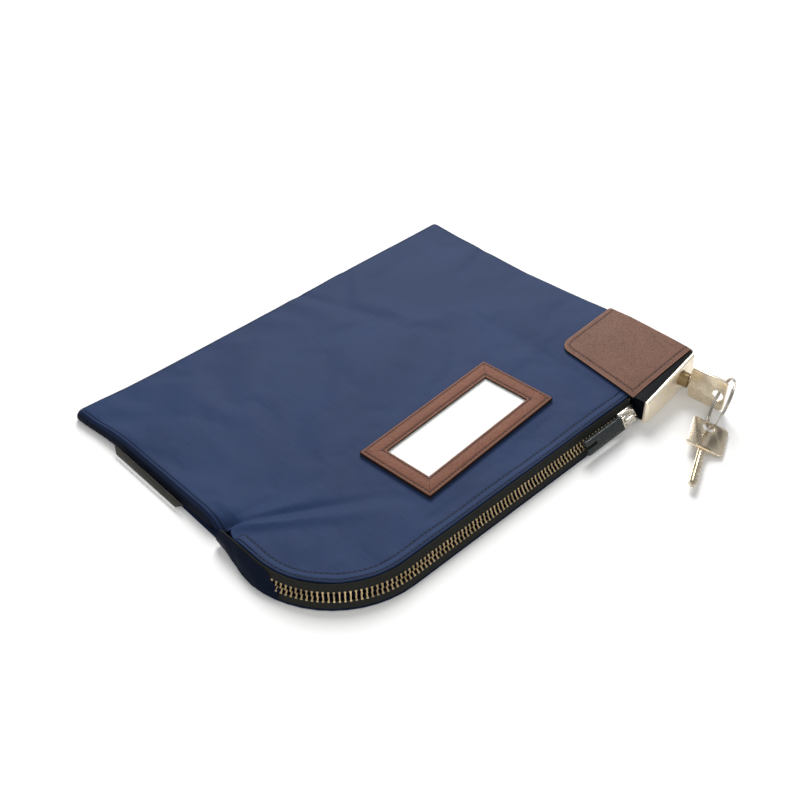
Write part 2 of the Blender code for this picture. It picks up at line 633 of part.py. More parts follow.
def build_keys(axis):
    """The key in the lock, the split ring and the spare key on the table."""
    shoulder_y = BARREL_FRONT - 1.0 * MM
    inward = Matrix(((0, 0, 1, 0), (1, 0, 0, shoulder_y), (0, 1, 0, 0), (0, 0, 0, 1)))
    key_mesh_parts("key_1", NICKEL, axis, inward)
    bpy.context.view_layer.update()
    hole_1 = axis.matrix_world @ Vector((0, shoulder_y + KEY_HOLE_INSET - BOW_LENGTH, 0))

    heading = Vector((math.cos(KEY_2_HEADING), math.sin(KEY_2_HEADING), 0))
    shoulder = KEY_2_HOLE + heading * (BOW_LENGTH - KEY_HOLE_INSET)
    flat = (Matrix.Translation(shoulder) @ Matrix.Rotation(KEY_2_HEADING, 4, "Z")
            @ Matrix.Rotation(KEY_2_ROLL, 4, "X"))
    key_mesh_parts("key_2", NICKEL, None, flat)

    chord = KEY_2_HOLE - hole_1
    along = chord.normalized()
    side = Vector((0, 1, 0))
    normal = (side - along * side.dot(along)).normalized()
    normal = Matrix.Rotation(RING_LEAN, 3, along) @ normal
    across = along.cross(normal)
    bow = math.sqrt(RING_RADIUS ** 2 - (chord.length / 2) ** 2)
    centre = (hole_1 + KEY_2_HOLE) / 2 + across * bow
    steps = 48
    loop = [(RING_RADIUS * math.cos(2 * math.pi * i / steps), RING_RADIUS * math.sin(2 * math.pi * i / steps), 0)
            for i in range(steps)]
    turn = Matrix((along, across, along.cross(across))).transposed().to_4x4()
    tube("key_ring", loop, RING_WIRE, NICKEL, None, Matrix.Translation(centre) @ turn, closed=True)


build_panels()
build_zip()
build_corner_patches()
build_label()
build_side_tag()
build_slider()
build_keys(build_lock())
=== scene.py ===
"""The looks of a locking zip bag for cash deposits: cloth, zip, leatherette, card frame, lock and keys.

Lengths are in metres in the frame's own axes: X runs along the zip, the zip edge faces -Y and the
bag lies on z = 0.
"""

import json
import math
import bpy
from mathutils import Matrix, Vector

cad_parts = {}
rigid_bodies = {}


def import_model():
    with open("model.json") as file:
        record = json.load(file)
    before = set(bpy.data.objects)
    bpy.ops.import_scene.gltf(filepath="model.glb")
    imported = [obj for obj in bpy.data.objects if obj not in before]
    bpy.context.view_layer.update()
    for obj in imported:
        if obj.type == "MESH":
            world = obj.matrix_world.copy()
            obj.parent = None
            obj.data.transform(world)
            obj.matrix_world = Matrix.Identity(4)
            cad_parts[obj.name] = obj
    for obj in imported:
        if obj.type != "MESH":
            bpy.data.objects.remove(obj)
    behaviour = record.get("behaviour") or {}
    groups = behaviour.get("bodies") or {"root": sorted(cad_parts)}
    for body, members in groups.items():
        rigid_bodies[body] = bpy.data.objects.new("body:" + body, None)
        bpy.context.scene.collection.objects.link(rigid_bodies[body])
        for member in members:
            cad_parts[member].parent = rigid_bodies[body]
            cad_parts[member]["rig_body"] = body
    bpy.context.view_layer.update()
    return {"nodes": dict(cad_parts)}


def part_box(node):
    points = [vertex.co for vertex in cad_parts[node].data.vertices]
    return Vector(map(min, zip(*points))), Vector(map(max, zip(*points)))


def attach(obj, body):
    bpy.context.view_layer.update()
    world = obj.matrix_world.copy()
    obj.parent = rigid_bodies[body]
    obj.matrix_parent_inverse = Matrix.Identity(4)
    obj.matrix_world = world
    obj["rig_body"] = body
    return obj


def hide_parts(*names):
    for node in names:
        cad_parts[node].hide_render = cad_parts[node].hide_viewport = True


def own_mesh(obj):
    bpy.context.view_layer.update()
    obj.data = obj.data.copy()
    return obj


bl_info = {
    "name": "Locking Deposit Bag",
    "version": (1, 0, 0),
    "blender": (4, 5, 0),
    "location": "3D View > Sidebar > Deposit Bag",
    "description": "Cloth, zip, leatherette, lock and keys of a locking zip bag",
    "category": "Object",
}

import bmesh
import bpy
from bpy.props import BoolProperty, FloatProperty, FloatVectorProperty, PointerProperty
from mathutils import Matrix, Vector, noise

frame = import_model()
MM = 0.001

# ---- bag ----
LEFT_X, RIGHT_X = -151.0 * MM, 152.0 * MM
FRONT_Y, BACK_Y = -113.2 * MM, 113.2 * MM
CORNER_RADIUS = 55.0 * MM
BACK_RADIUS = 3.5 * MM
CORNER_X, CORNER_Y = LEFT_X + CORNER_RADIUS, FRONT_Y + CORNER_RADIUS
BACK_HEIGHT, FRONT_HEIGHT = 7.5 * MM, 13.0 * MM
LOCK_RISE = 7.0 * MM
RISE_START_X, RISE_END_X, RISE_POWER = 88.0 * MM, 150.0 * MM, 0.7
SLOPE_START_Y, SLOPE_END_Y = 90.0 * MM, -105.0 * MM
RISE_START_Y, RISE_FULL_Y = 20.0 * MM, -70.0 * MM
WALL_RADIUS = 5.0 * MM
WALL_FOOT = 1.6 * MM
# Distances inside a sewn edge, closer together where the cloth turns down.
ROLL_STEPS = [WALL_RADIUS * (1 - math.sin(math.radians(a))) for a in (90, 75, 60, 45, 30, 15)]
SIDE_WALL_START_Y, SIDE_WALL_FULL_Y = -30.0 * MM, -22.0 * MM
CLOTH = 0.8 * MM
RIPPLE_SHARE = 0.55
CORNER_PULL, CORNER_PULL_WIDTH = Vector((-4.2, 2.6)) * MM, 26.0 * MM

# ---- zip ----
ZIP_START_X, ZIP_END_Y = 90.4 * MM, -27.0 * MM
ZIP_GAP, ZIP_SPREAD, ZIP_SPREAD_END = 0.5 * MM, 7.2 * MM, 1.2 * MM
ZIP_FOOT, ZIP_TOP_DROP = 1.6 * MM, 0.5 * MM
ZIP_LENGTH = (ZIP_START_X - CORNER_X) + CORNER_RADIUS * math.pi / 2 + (ZIP_END_Y - CORNER_Y)
ZIP_HIDDEN = 50.0 * MM
# Roots of the upper and lower teeth as shares of the way down the band, at the slider and past it.
TEETH, TEETH_RAISED = (0.395, 0.84), (0.33, 0.725)

# ---- leatherette corner and card frame ----
PATCH_X, PATCH_Y = 98.0 * MM, -53.0 * MM
PATCH, PATCH_LIFT = 1.2 * MM, 0.45 * MM
PATCH_FRONT, PATCH_SKEW = FRONT_Y - 4.0 * MM, 0.105
LABEL_AT = (-1.1 * MM, -60.0 * MM)
LABEL_TURN = math.radians(3.8)
LABEL_OUTER = (56.0 * MM, 27.0 * MM)
LABEL_INNER = (44.5 * MM, 16.0 * MM)
LABEL_TILT = math.atan((FRONT_HEIGHT - BACK_HEIGHT) / (SLOPE_START_Y - SLOPE_END_Y))

# ---- lock, slider and keys ----
LOCK_PLACE = (Matrix.Translation((132.0 * MM, -120.6 * MM, 0.0))
              @ Matrix.Rotation(math.radians(6.0), 4, "Z"))
LOCK_AXIS_Z = 11.0 * MM
AXIS_PLACE = LOCK_PLACE @ Matrix.Translation((0, 0, LOCK_AXIS_Z))
LOCK_LEFT, LOCK_RIGHT, LOCK_FACE = -39.5 * MM, 15.0 * MM, -1.5 * MM
FACE_TOP = (15.5 * MM, 20.2 * MM)
BARREL_RADIUS, BARREL_FRONT = 4.6 * MM, -8.0 * MM
SLIDER_X = 83.0 * MM
BOW_LENGTH, KEY_HOLE_INSET, BLADE_LENGTH = 24.0 * MM, 4.8 * MM, 33.0 * MM
KEY_2_HOLE = Vector((112.6 * MM, -158.6 * MM, 4.3 * MM))
KEY_2_ROLL, KEY_2_HEADING = math.radians(-15.0), math.radians(205.2)
RING_RADIUS, RING_LEAN = 16.5 * MM, math.radians(155.0)

# ---- stage ----
DARK_SCREEN = (0.74, 0.1, 0.68)
DARK_SCREEN_EDGE = (math.radians(17), math.radians(13))
DARK_SCREEN_LEVEL = 0.06
FLOOR_HALF, FLOOR_DROP = 4.0, 0.05 * MM
CAMERA_AIM = Vector((0, -8.8 * MM, 0))
# Each lamp's name, place, size and share of the key lamp's power.
LAMPS = (("key_lamp", (1.5, 1.6, 1.8), 1.3, 1.0), ("front_lamp", (-1.5, -1.9, 1.5), 1.6, 0.22))


# ---------------------------------------------------------------- settings

def colour_property(name, description, default):
    """A colour that the sidebar shows as a swatch."""
    return FloatVectorProperty(name=name, description=description, default=default, subtype="COLOR",
                               size=3, min=0.0, max=1.0)


def length_property(name, description, default):
    """A length in metres."""
    return FloatProperty(name=name, description=description, default=default, unit="LENGTH",
                         precision=5)


class ClothSettings(bpy.types.PropertyGroup):
    """The navy cloth."""
    colour: colour_property("Cloth", "Colour of the navy cloth", (0.022, 0.040, 0.100))
    # Painted shade: this darker navy is painted along the sunk seam lines, on the sewn side walls and on the
    # hem lip. It is also the navy thread's own colour.
    shade: colour_property("Cloth shade", "Darker navy in the seams and between threads",
                           (0.002, 0.0035, 0.009))
    thread: length_property("Thread pitch", "Distance between threads of the weave", 0.65 * MM)
    crease: FloatProperty(name="Crease", description="Depth of the creases, where 1 is the usual depth",
                          default=1.0, min=0.0, max=2.0, subtype="FACTOR")
    simulate: BoolProperty(name="Simulate", description="Let the cloth buckle by simulation", default=True)
    spare: FloatProperty(name="Spare cloth", description="How much longer the cloth is than what it covers",
                         default=0.0035, min=0.0, max=0.05, subtype="FACTOR")


class ZipSettings(bpy.types.PropertyGroup):
    """The zip."""
    pitch: length_property("Tooth pitch", "Distance between teeth of one row", 2.8 * MM)
    brass: colour_property("Brass", "Worn high spots of the teeth", (0.55, 0.42, 0.24))
    patina: colour_property("Patina", "Dark film between the high spots", (0.1, 0.068, 0.035))
    tape: colour_property("Tape", "Colour of the zip tape", (0.013, 0.014, 0.012))


class LeatheretteSettings(bpy.types.PropertyGroup):
    """The leatherette corner and the card frame."""
    corner: colour_property("Corner", "Colour of the corner patch", (0.168, 0.08, 0.054))
    border: colour_property("Card frame", "Colour of the card frame", (0.185, 0.072, 0.042))
    worn: colour_property("Worn edge", "Rubbed edge of the leatherette", (0.3, 0.16, 0.11))
    cut: colour_property("Cut edge", "Painted cut edge of the leatherette", (0.006, 0.005, 0.006))
    thread: colour_property("Thread", "Colour of the sewing thread", (0.016, 0.008, 0.008))
    grain: length_property("Grain", "Size of one pebble of the grain", 0.9 * MM)
    stitch: length_property("Stitch pitch", "Distance between stitches", 2.9 * MM)
    card: colour_property("Card", "Colour of the card", (0.86, 0.86, 0.84))


class MetalSettings(bpy.types.PropertyGroup):
    """The lock, slider, keys and ring."""
    nickel: colour_property("Nickel", "Nickel plate", (0.88, 0.84, 0.76))
    lock: colour_property("Lock face", "Warmer plate of the lock's face", (1.0, 0.9, 0.73))
    key: colour_property("Keys", "Yellowish plate of the keys", (0.84, 0.73, 0.56))
    ring: colour_property("Ring", "Darker wire of the split ring", (0.5, 0.47, 0.42))
    brass: colour_property("Barrel", "Dark brass of the cylinder", (0.33, 0.235, 0.12))
    steel: colour_property("Steel", "Springs and hidden plates", (0.45, 0.45, 0.46))
    vinyl: colour_property("Pull sleeve", "Smoky plastic on the pull", (0.026, 0.032, 0.033))


class StageSettings(bpy.types.PropertyGroup):
    """The floor, the lights and the camera."""
    floor: colour_property("Floor", "Colour of the floor", (0.9, 0.9, 0.895))
    sky: FloatProperty(name="Fill", description="Strength of the soft light from all round", default=0.5,
                       min=0.0)
    key: FloatProperty(name="Key", description="Power of the large lamp behind the bag", default=86.0,
                       min=0.0, unit="POWER")
    azimuth: FloatProperty(name="Azimuth", description="Camera's place round the bag",
                           default=math.radians(-43.69), subtype="ANGLE")
    elevation: FloatProperty(name="Elevation", description="Camera's height above the table",
                             default=math.radians(41.4), subtype="ANGLE")
    distance: length_property("Distance", "From the camera to the bag", 0.7343)
    lens: FloatProperty(name="Lens", description="Focal length in millimetres", default=53.14, min=10.0)


def settings(name):
    """One group of the scene's settings."""
    return getattr(bpy.context.scene.deposit_bag, name)


# ---------------------------------------------------------------- materials

class Value:
    """A socket of a material's node tree. Arithmetic on it adds Math nodes."""

    def __init__(self, nodes, socket):
        self.nodes, self.socket = nodes, socket

    def math(self, operation, *others):
        """This value through a Math node."""
        return self.nodes.add("ShaderNodeMath", {"operation": operation}, dict(enumerate((self, *others))))

    def reflected(self, operation, other):
        """A Math node with this value second."""
        return self.nodes.add("ShaderNodeMath", {"operation": operation}, {0: other, 1: self})

    def __add__(self, other):
        return self.math("ADD", other)

    def __sub__(self, other):
        return self.math("SUBTRACT", other)

    def __mul__(self, other):
        return self.math("MULTIPLY", other)

    def __truediv__(self, other):
        return self.math("DIVIDE", other)

    def __radd__(self, other):
        return self.reflected("ADD", other)

    def __rsub__(self, other):
        return self.reflected("SUBTRACT", other)

    def __abs__(self):
        return self.math("ABSOLUTE")

    def clamped(self):
        """This value held between 0 and 1."""
        return self.math("MINIMUM", 1.0).math("MAXIMUM", 0.0)

    def line(self, at, width):
        """1 where this value is at, falling to 0 over width on each side."""
        return (1.0 - abs(self - at) / width).clamped()


class Nodes:
    """A material's node tree, with its Principled shader."""

    def __init__(self, name):
        self.material = bpy.data.materials.new(name)
        self.material.use_nodes = True
        self.tree = self.material.node_tree
        self.shader = self.tree.nodes["Principled BSDF"]

    def feed(self, socket, value):
        """Gives a socket a link or a constant."""
        if isinstance(value, Value):
            self.tree.links.new(value.socket, socket)
        else:
            socket.default_value = (*value, 1.0) if socket.type == "RGBA" and len(value) == 3 else value

    def add(self, kind, options=None, values=None, output=0):
        """A node of that type, with its options set and its sockets fed."""
        node = self.tree.nodes.new(kind)
        for name, option in (options or {}).items():
            setattr(node, name, option)
        for name, value in (values or {}).items():
            self.feed(node.inputs[name], value)
        return Value(self, node.outputs[output])

    def place(self):
        """The point of the surface in the object's own axes."""
        return self.add("ShaderNodeTexCoord", output="Object")

    def attribute(self, name):
        """A number stored on the mesh."""
        return self.add("ShaderNodeAttribute", {"attribute_name": name}, output="Fac")

    def noise(self, size, detail=2.0, roughness=0.5, stretch=None):
        """Noise whose blotches are about that size."""
        place = self.place()
        if stretch:
            place = self.add("ShaderNodeMapping", {}, {"Vector": place, "Scale": stretch})
        return self.add("ShaderNodeTexNoise", {},
                        {"Vector": place, "Scale": 1.0 / size, "Detail": detail, "Roughness": roughness})

    def ribs(self, pitch, direction):
        """Even ribs across an axis, from 0 to 1."""
        return self.add("ShaderNodeTexWave", {"wave_type": "BANDS", "bands_direction": direction},
                        {"Vector": self.place(), "Scale": math.pi / 10 / pitch}, output="Fac")

    def blend(self, share, first, second):
        """One colour turning into another."""
        made = self.tree.nodes.new("ShaderNodeMix")
        made.data_type = "RGBA"
        sockets = [s for s in made.inputs if s.enabled]
        for socket, value in zip(sockets, (share, first, second)):
            self.feed(socket, value)
        return Value(self, next(s for s in made.outputs if s.enabled))

    def surface(self, colour, roughness, height=None, **constants):
        """Feeds the shader. height is relief in metres; constants are its own sockets."""
        self.feed(self.shader.inputs["Base Color"], colour)
        self.feed(self.shader.inputs["Roughness"], roughness)
        if height is not None:
            bump = self.add("ShaderNodeBump", {}, {"Height": height, "Strength": 1.0, "Distance": 1.0})
            self.feed(self.shader.inputs["Normal"], bump)
        for name, value in constants.items():
            self.shader.inputs[name.replace("_", " ")].default_value = value
        return self.material


def weave(nodes, pitch):
    """Plain weave: threads over and under, from 0 to 1."""
    warp, weft = nodes.ribs(pitch, "X"), nodes.ribs(pitch, "Y")
    return (warp * weft + (1.0 - warp) * (1.0 - weft)).clamped()


def navy_cloth(name, lines, shaded_brightness=1.0):
    """Woven nylon; lines are its sewn folds as (attribute, distance, width), each darkened with painted
    shade. Below 1, the last argument dims the whole cloth as painted shade.
    """
    cloth = settings("cloth")
    nodes = Nodes(name)
    threads = weave(nodes, cloth.thread)
    cloud = nodes.noise(55 * MM, 3.0)
    slub = nodes.noise(1.1 * MM, 2.0, 0.6, (1.0, 0.12, 0.3))
    tone = (0.52 + (cloud - 0.5) * 0.75 + (slub - 0.5) * 0.9 + (threads - 0.5) * 0.3).clamped()
    colour = nodes.blend(tone, [c * 0.72 * shaded_brightness for c in cloth.colour],
                         [c * 1.25 * shaded_brightness for c in cloth.colour])
    height = threads * (0.035 * MM) + slub * (0.03 * MM) + nodes.noise(9 * MM, 3.0) * (0.12 * MM)
    # Painted shade: each sewn fold's line is darkened towards the shade colour as well as sunk by the bump.
    for attribute, distance, width in lines:
        seam = nodes.attribute(attribute).line(distance, width)
        colour = nodes.blend(seam * 0.75, colour, tuple(cloth.shade))
        height = height - seam * (0.3 * MM)
    if lines:
        # Painted shade: the sewn side walls and the hem lip, where the cloth turns down, go nearly to the
        # shade colour.
        wall_shade = ((2.8 * MM - nodes.attribute("seam_distance")) / (1.8 * MM)).clamped()
        lip = ((0.7 * MM - nodes.attribute("hem_distance")) / (0.6 * MM)).clamped()
        colour = nodes.blend(wall_shade.math("MAXIMUM", lip) * 0.94, colour, tuple(cloth.shade))
    roughness = 0.55 + (slub - 0.5) * 0.12
    return nodes.surface(colour, roughness, height, Sheen_Weight=0.01, Sheen_Roughness=0.4,
                         Specular_IOR_Level=0.05)


def tape_cloth():
    """Ribbed zip tape."""
    zip_set = settings("zip")
    nodes = Nodes("zip_tape_cloth")
    ribs = nodes.ribs(0.8 * MM, "X") * nodes.ribs(0.5 * MM, "Z")
    fluff = nodes.noise(1.5 * MM, 3.0)
    colour = nodes.blend((ribs * 0.6 + fluff * 0.5).clamped(), [c * 0.4 for c in zip_set.tape],
                         [c * 2.2 for c in zip_set.tape])
    return nodes.surface(colour, 0.85, ribs * (0.08 * MM) + fluff * (0.05 * MM), Specular_IOR_Level=0.25)


def leatherette(name, base, edge_attribute=None, seam_at=None):
    """Pebbled leatherette with a rubbed edge and a sunk line under the stitches, that line darkened as
    painted shade.
    """
    leather = settings("leatherette")
    nodes = Nodes(name)
    pebbles = nodes.add("ShaderNodeTexVoronoi", {"feature": "SMOOTH_F1"},
                        {"Vector": nodes.place(), "Scale": 1.0 / leather.grain, "Smoothness": 0.7},
                        output="Distance")
    wrinkle = nodes.noise(5 * MM, 4.0, 0.6)
    cloud = nodes.noise(30 * MM, 2.0)
    tone = (0.5 + (cloud - 0.5) * 0.5 + (wrinkle - 0.5) * 0.5 - (pebbles - 0.4) * 0.55).clamped()
    colour = nodes.blend(tone, [c * 0.62 for c in base], [c * 1.3 for c in base])
    height = pebbles * (-0.09 * MM) + wrinkle * (0.12 * MM)
    if edge_attribute:
        distance = nodes.attribute(edge_attribute)
        rubbed = (1.0 - distance / (1.3 * MM)).clamped() * (0.35 + wrinkle * 0.6)
        colour = nodes.blend(rubbed.clamped(), colour, tuple(leather.worn))
        cut_edge = (1.6 - distance / (0.16 * MM)).clamped()
        colour = nodes.blend(cut_edge * 0.95, colour, tuple(leather.cut))
        # Painted shade: the sunk line under the stitches is darkened as well as sunk.
        for place in seam_at:
            seam = distance.line(place, 0.9 * MM)
            colour = nodes.blend(seam * 0.55, colour, [c * 0.3 for c in base])
            height = height - seam * (0.28 * MM)
    return nodes.surface(colour, 0.6 + (pebbles - 0.4) * 0.25, height, Specular_IOR_Level=0.14)


def metal(name, base, roughness, grain=0.0, dark=None, tarnish=0.35, solid=1.0):
    """Plated or worn metal; grain is the depth of its fine relief and dark its tarnish."""
    nodes = Nodes(name)
    fine = nodes.noise(0.55 * MM, 3.0, 0.6)
    smear = nodes.noise(7 * MM, 4.0, 0.6)
    brushed = nodes.noise(0.8 * MM, 2.0, 0.5, (0.08, 1.0, 1.0))
    film = ((smear - 0.45) * 2.2 + (fine - 0.5) * 0.8).clamped() * tarnish
    colour = nodes.blend(film, base, dark or [c * 0.55 for c in base])
    rough = (roughness + (smear - 0.5) * 0.16 + (brushed - 0.5) * 0.08).clamped()
    nodes.surface(colour, rough, fine * grain + brushed * (grain * 0.4))
    nodes.shader.inputs["Metallic"].default_value = solid
    return nodes.material


def sewing_thread(name, base):
    """Twisted thread."""
    nodes = Nodes(name)
    twist = nodes.noise(0.5 * MM, 2.0)
    return nodes.surface(nodes.blend(twist, [c * 0.6 for c in base], [c * 1.7 for c in base]), 0.6,
                         twist * (0.05 * MM))


def clear_vinyl(name, base, alpha, roughness=0.12):
    """Soft clear sheet, scuffed and a little wavy."""
    nodes = Nodes(name)
    scuff = nodes.noise(3 * MM, 4.0, 0.65)
    wave = nodes.noise(14 * MM, 2.0)
    colour = nodes.blend(scuff, [c * 0.85 for c in base], base)
    nodes.surface(colour, roughness + scuff * 0.12, wave * (0.25 * MM) + scuff * (0.02 * MM))
    nodes.feed(nodes.shader.inputs["Alpha"], (alpha + (scuff - 0.5) * 0.1).clamped())
    return nodes.material


def paper():
    """White card."""
    nodes = Nodes("card_stock")
    fibre = nodes.noise(0.8 * MM, 4.0, 0.7)
    base = settings("leatherette").card
    return nodes.surface(nodes.blend(fibre, [c * 0.95 for c in base], tuple(base)), 0.75, fibre * (0.02 * MM))


LOOKS = {}


def look(name):
    """A finish by name, made once."""
    if name not in LOOKS:
        metals, leather, zip_set = settings("metal"), settings("leatherette"), settings("zip")
        makers = {
            # The top cloth's hem and seam lines are darkened with painted shade.
            "top_cloth": lambda: navy_cloth("navy_cloth_top", (
                ("hem_distance", 6.0 * MM, 0.8 * MM), ("hem_distance", 1.7 * MM, 0.7 * MM),
                ("seam_distance", 2.4 * MM, 0.6 * MM), ("seam_distance", 4.2 * MM, 0.6 * MM))),
            # Painted shade: the under cloth is the top navy dimmed to 0.42.
            "under_cloth_painted_shade": lambda: navy_cloth("navy_cloth_under_painted_shade", (), 0.42),
            # Painted shade: the fold over the zip's end is the top navy dimmed to a fifth.
            "fold_cloth_painted_shade": lambda: navy_cloth("navy_cloth_fold_painted_shade", (), 0.2),
            # Painted shade: the gusset is the top navy dimmed nearly to black.
            "gusset_cloth_painted_shade": lambda: navy_cloth("navy_gusset_painted_shade", (), 0.04),
            "tape": tape_cloth,
            "teeth": lambda: metal("antique_brass", tuple(zip_set.brass), 0.36, 0.03 * MM,
                                   tuple(zip_set.patina), 0.95),
            "corner": lambda: leatherette("corner_leatherette", tuple(leather.corner), "edge_distance",
                                          (3.6 * MM,)),
            "corner_plain": lambda: leatherette("corner_leatherette_under", tuple(leather.corner)),
            "border": lambda: leatherette("frame_leatherette", tuple(leather.border), "edge_distance",
                                          (1.9 * MM,)),
            "card": paper,
            "window": lambda: clear_vinyl("clear_window", (0.9, 0.92, 0.92), 0.12),
            # Partly painted shade: the tag's sleeve has its own olive tint but is made dark and nearly opaque
            # for the shade under it.
            "tag": lambda: clear_vinyl("tag_vinyl_painted_shade", (0.022, 0.02, 0.012), 0.92, 0.3),
            "sleeve": lambda: clear_vinyl("smoky_sleeve", tuple(metals.vinyl), 0.86, 0.2),
            "nickel": lambda: metal("nickel_plate", tuple(metals.nickel), 0.2, 0.012 * MM),
            "lock": lambda: metal("lock_plate", tuple(metals.lock), 0.42, 0.07 * MM, None, 0.3, 0.75),
            "key": lambda: metal("key_nickel", tuple(metals.key), 0.28, 0.03 * MM, (0.28, 0.25, 0.2), 0.55),
            "ring": lambda: metal("ring_wire", tuple(metals.ring), 0.25, 0.02 * MM),
            "steel": lambda: metal("spring_steel", tuple(metals.steel), 0.34, 0.02 * MM),
            "brass": lambda: metal("barrel_brass", tuple(metals.brass), 0.3, 0.03 * MM, None, 0.7),
            "navy_thread": lambda: sewing_thread("navy_thread", tuple(settings("cloth").shade)),
            "brown_thread": lambda: sewing_thread("brown_thread", tuple(leather.thread)),
        }
        LOOKS[name] = makers[name]()
    return LOOKS[name]


# ---------------------------------------------------------------- the bag's shape

def lerp(a, b, t):
    """The value a share t of the way from a to b."""
    return a + (b - a) * t


def clamp01(t):
    """t held between 0 and 1."""
    return max(0.0, min(1.0, t))


def smooth(t):
    """t held between 0 and 1, easing in and out."""
    t = clamp01(t)
    return t * t * (3 - 2 * t)


def steps(start, end, size):
    """Even steps of about that size from start up to, but not including, end."""
    count = max(1, round((end - start) / size))
    return [lerp(start, end, i / count) for i in range(count)]


def cloth_height(x, y):
    """Height of the top cloth, before it turns down at the sewn edges."""
    slope = clamp01((SLOPE_START_Y - y) / (SLOPE_START_Y - SLOPE_END_Y))
    along = clamp01((x - RISE_START_X) / (RISE_END_X - RISE_START_X))
    forward = clamp01((RISE_START_Y - y) / (RISE_START_Y - RISE_FULL_Y))
    return lerp(BACK_HEIGHT, FRONT_HEIGHT, slope) + LOCK_RISE * along ** RISE_POWER * forward


def edge_roll(distance):
    """1 well inside the cloth, falling to 0 on a sewn edge along a quarter circle."""
    short = clamp01(1 - distance / WALL_RADIUS)
    return math.sqrt(max(0.0, 1 - short * short))


def rounded(x, y, centre_x, centre_y, radius, side_x, side_y):
    """Takes a point of a square corner to a round one. side_x and side_y point to the corner."""
    a = (x - centre_x) * side_x / radius
    b = (y - centre_y) * side_y / radius
    if a <= 0 or b <= 0:
        return x, y
    return (centre_x + side_x * radius * a * math.sqrt(1 - b * b / 2),
            centre_y + side_y * radius * b * math.sqrt(1 - a * a / 2))


def hem_distance(x, y):
    """How far inside the zip edge a point is."""
    if x < CORNER_X and y < CORNER_Y:
        return CORNER_RADIUS - math.hypot(x - CORNER_X, y - CORNER_Y)
    if y < CORNER_Y:
        return y - FRONT_Y
    return max(x - LEFT_X, 0.0) + 60 * MM * smooth((y + 40 * MM) / (12 * MM))


def seam_distance(x, y):
    """How far inside the sewn edges a point is."""
    left = x - LEFT_X + 60 * MM * smooth((SIDE_WALL_START_Y + 4 * MM - y) / (8 * MM))
    return min(left, RIGHT_X - x, BACK_Y - y)


class Crease:
    """A fold in the cloth from one point to another: deep at its start and gone at its end."""

    def __init__(self, start, end, depth, width, lip=0.0):
        self.start, self.end = Vector(start) * MM, Vector(end) * MM
        self.depth, self.width, self.lip = depth * MM, width * MM, lip * MM

    def height(self, x, y):
        """How far the fold lifts the cloth at a point."""
        line = self.end - self.start
        offset = Vector((x, y)) - self.start
        along = offset.dot(line) / line.length_squared
        across = (line.x * offset.y - line.y * offset.x) / line.length
        if along < -0.15 or along > 1:
            return 0.0
        width = self.width * (0.6 + 0.9 * clamp01(along))
        fade = smooth((along + 0.15) / 0.15) * (1 - smooth(along)) ** 0.8
        valley = -self.depth * math.exp(-(across / width) ** 2)
        ridge = self.lip * math.exp(-((across + 1.9 * width) / (1.4 * width)) ** 2)
        return (valley + ridge) * fade


CREASES = (
    Crease((-145, -27), (-60, -79), 1.7, 3.4, 1.1),
    Crease((-149, -24), (-72, -36), 1.5, 6.0, 0.8),
    Crease((-149, -20), (-30, 14), 1.2, 11.0, 0.6),
    Crease((-150, 96), (-96, 60), 0.6, 9.0, 0.3),
    Crease((20, 108), (66, -8), 0.5, 7.0, 0.3),
    Crease((-6, 66), (112, 26), 0.5, 7.0, 0.35),
    Crease((148, 60), (58, 34), 0.5, 8.0, 0.3),
    Crease((60, 108), (22, 70), 0.5, 6.0, 0.25),
)
PUCKER = Vector((-150.0, -27.0)) * MM


def label_place():
    """The card frame's own axes."""
    x, y = LABEL_AT
    return (Matrix.Translation((x, y, cloth_height(x, y))) @ Matrix.Rotation(-LABEL_TILT, 4, "X")
            @ Matrix.Rotation(LABEL_TURN, 4, "Z"))


def freedom(x, y):
    """1 where the cloth is free to crease, 0 under the card frame and the corner patch."""
    dx, dy = x - LABEL_AT[0], y - LABEL_AT[1]
    along = dx * math.cos(LABEL_TURN) + dy * math.sin(LABEL_TURN)
    across = -dx * math.sin(LABEL_TURN) + dy * math.cos(LABEL_TURN)
    frame_gap = max(abs(along) - LABEL_OUTER[0], abs(across) - LABEL_OUTER[1])
    patch_gap = max(PATCH_X - 7 * MM - x, y - PATCH_Y)
    return smooth((frame_gap + 1 * MM) / (12 * MM)) * smooth((patch_gap + 1 * MM) / (14 * MM))


def fold_height(x, y):
    """Creases and soft waves of the top cloth."""
    total = sum(crease.height(x, y) for crease in CREASES)
    total += 0.7 * MM * noise.noise(Vector((x, y, 0.3)) / (70 * MM))
    total += 0.22 * MM * noise.noise(Vector((x, y, 4.0)) / (17 * MM))
    far = (Vector((x, y)) - PUCKER).length
    total -= 3.4 * MM * math.exp(-(far / (9 * MM)) ** 2)
    return total * freedom(x, y) * settings("cloth").crease


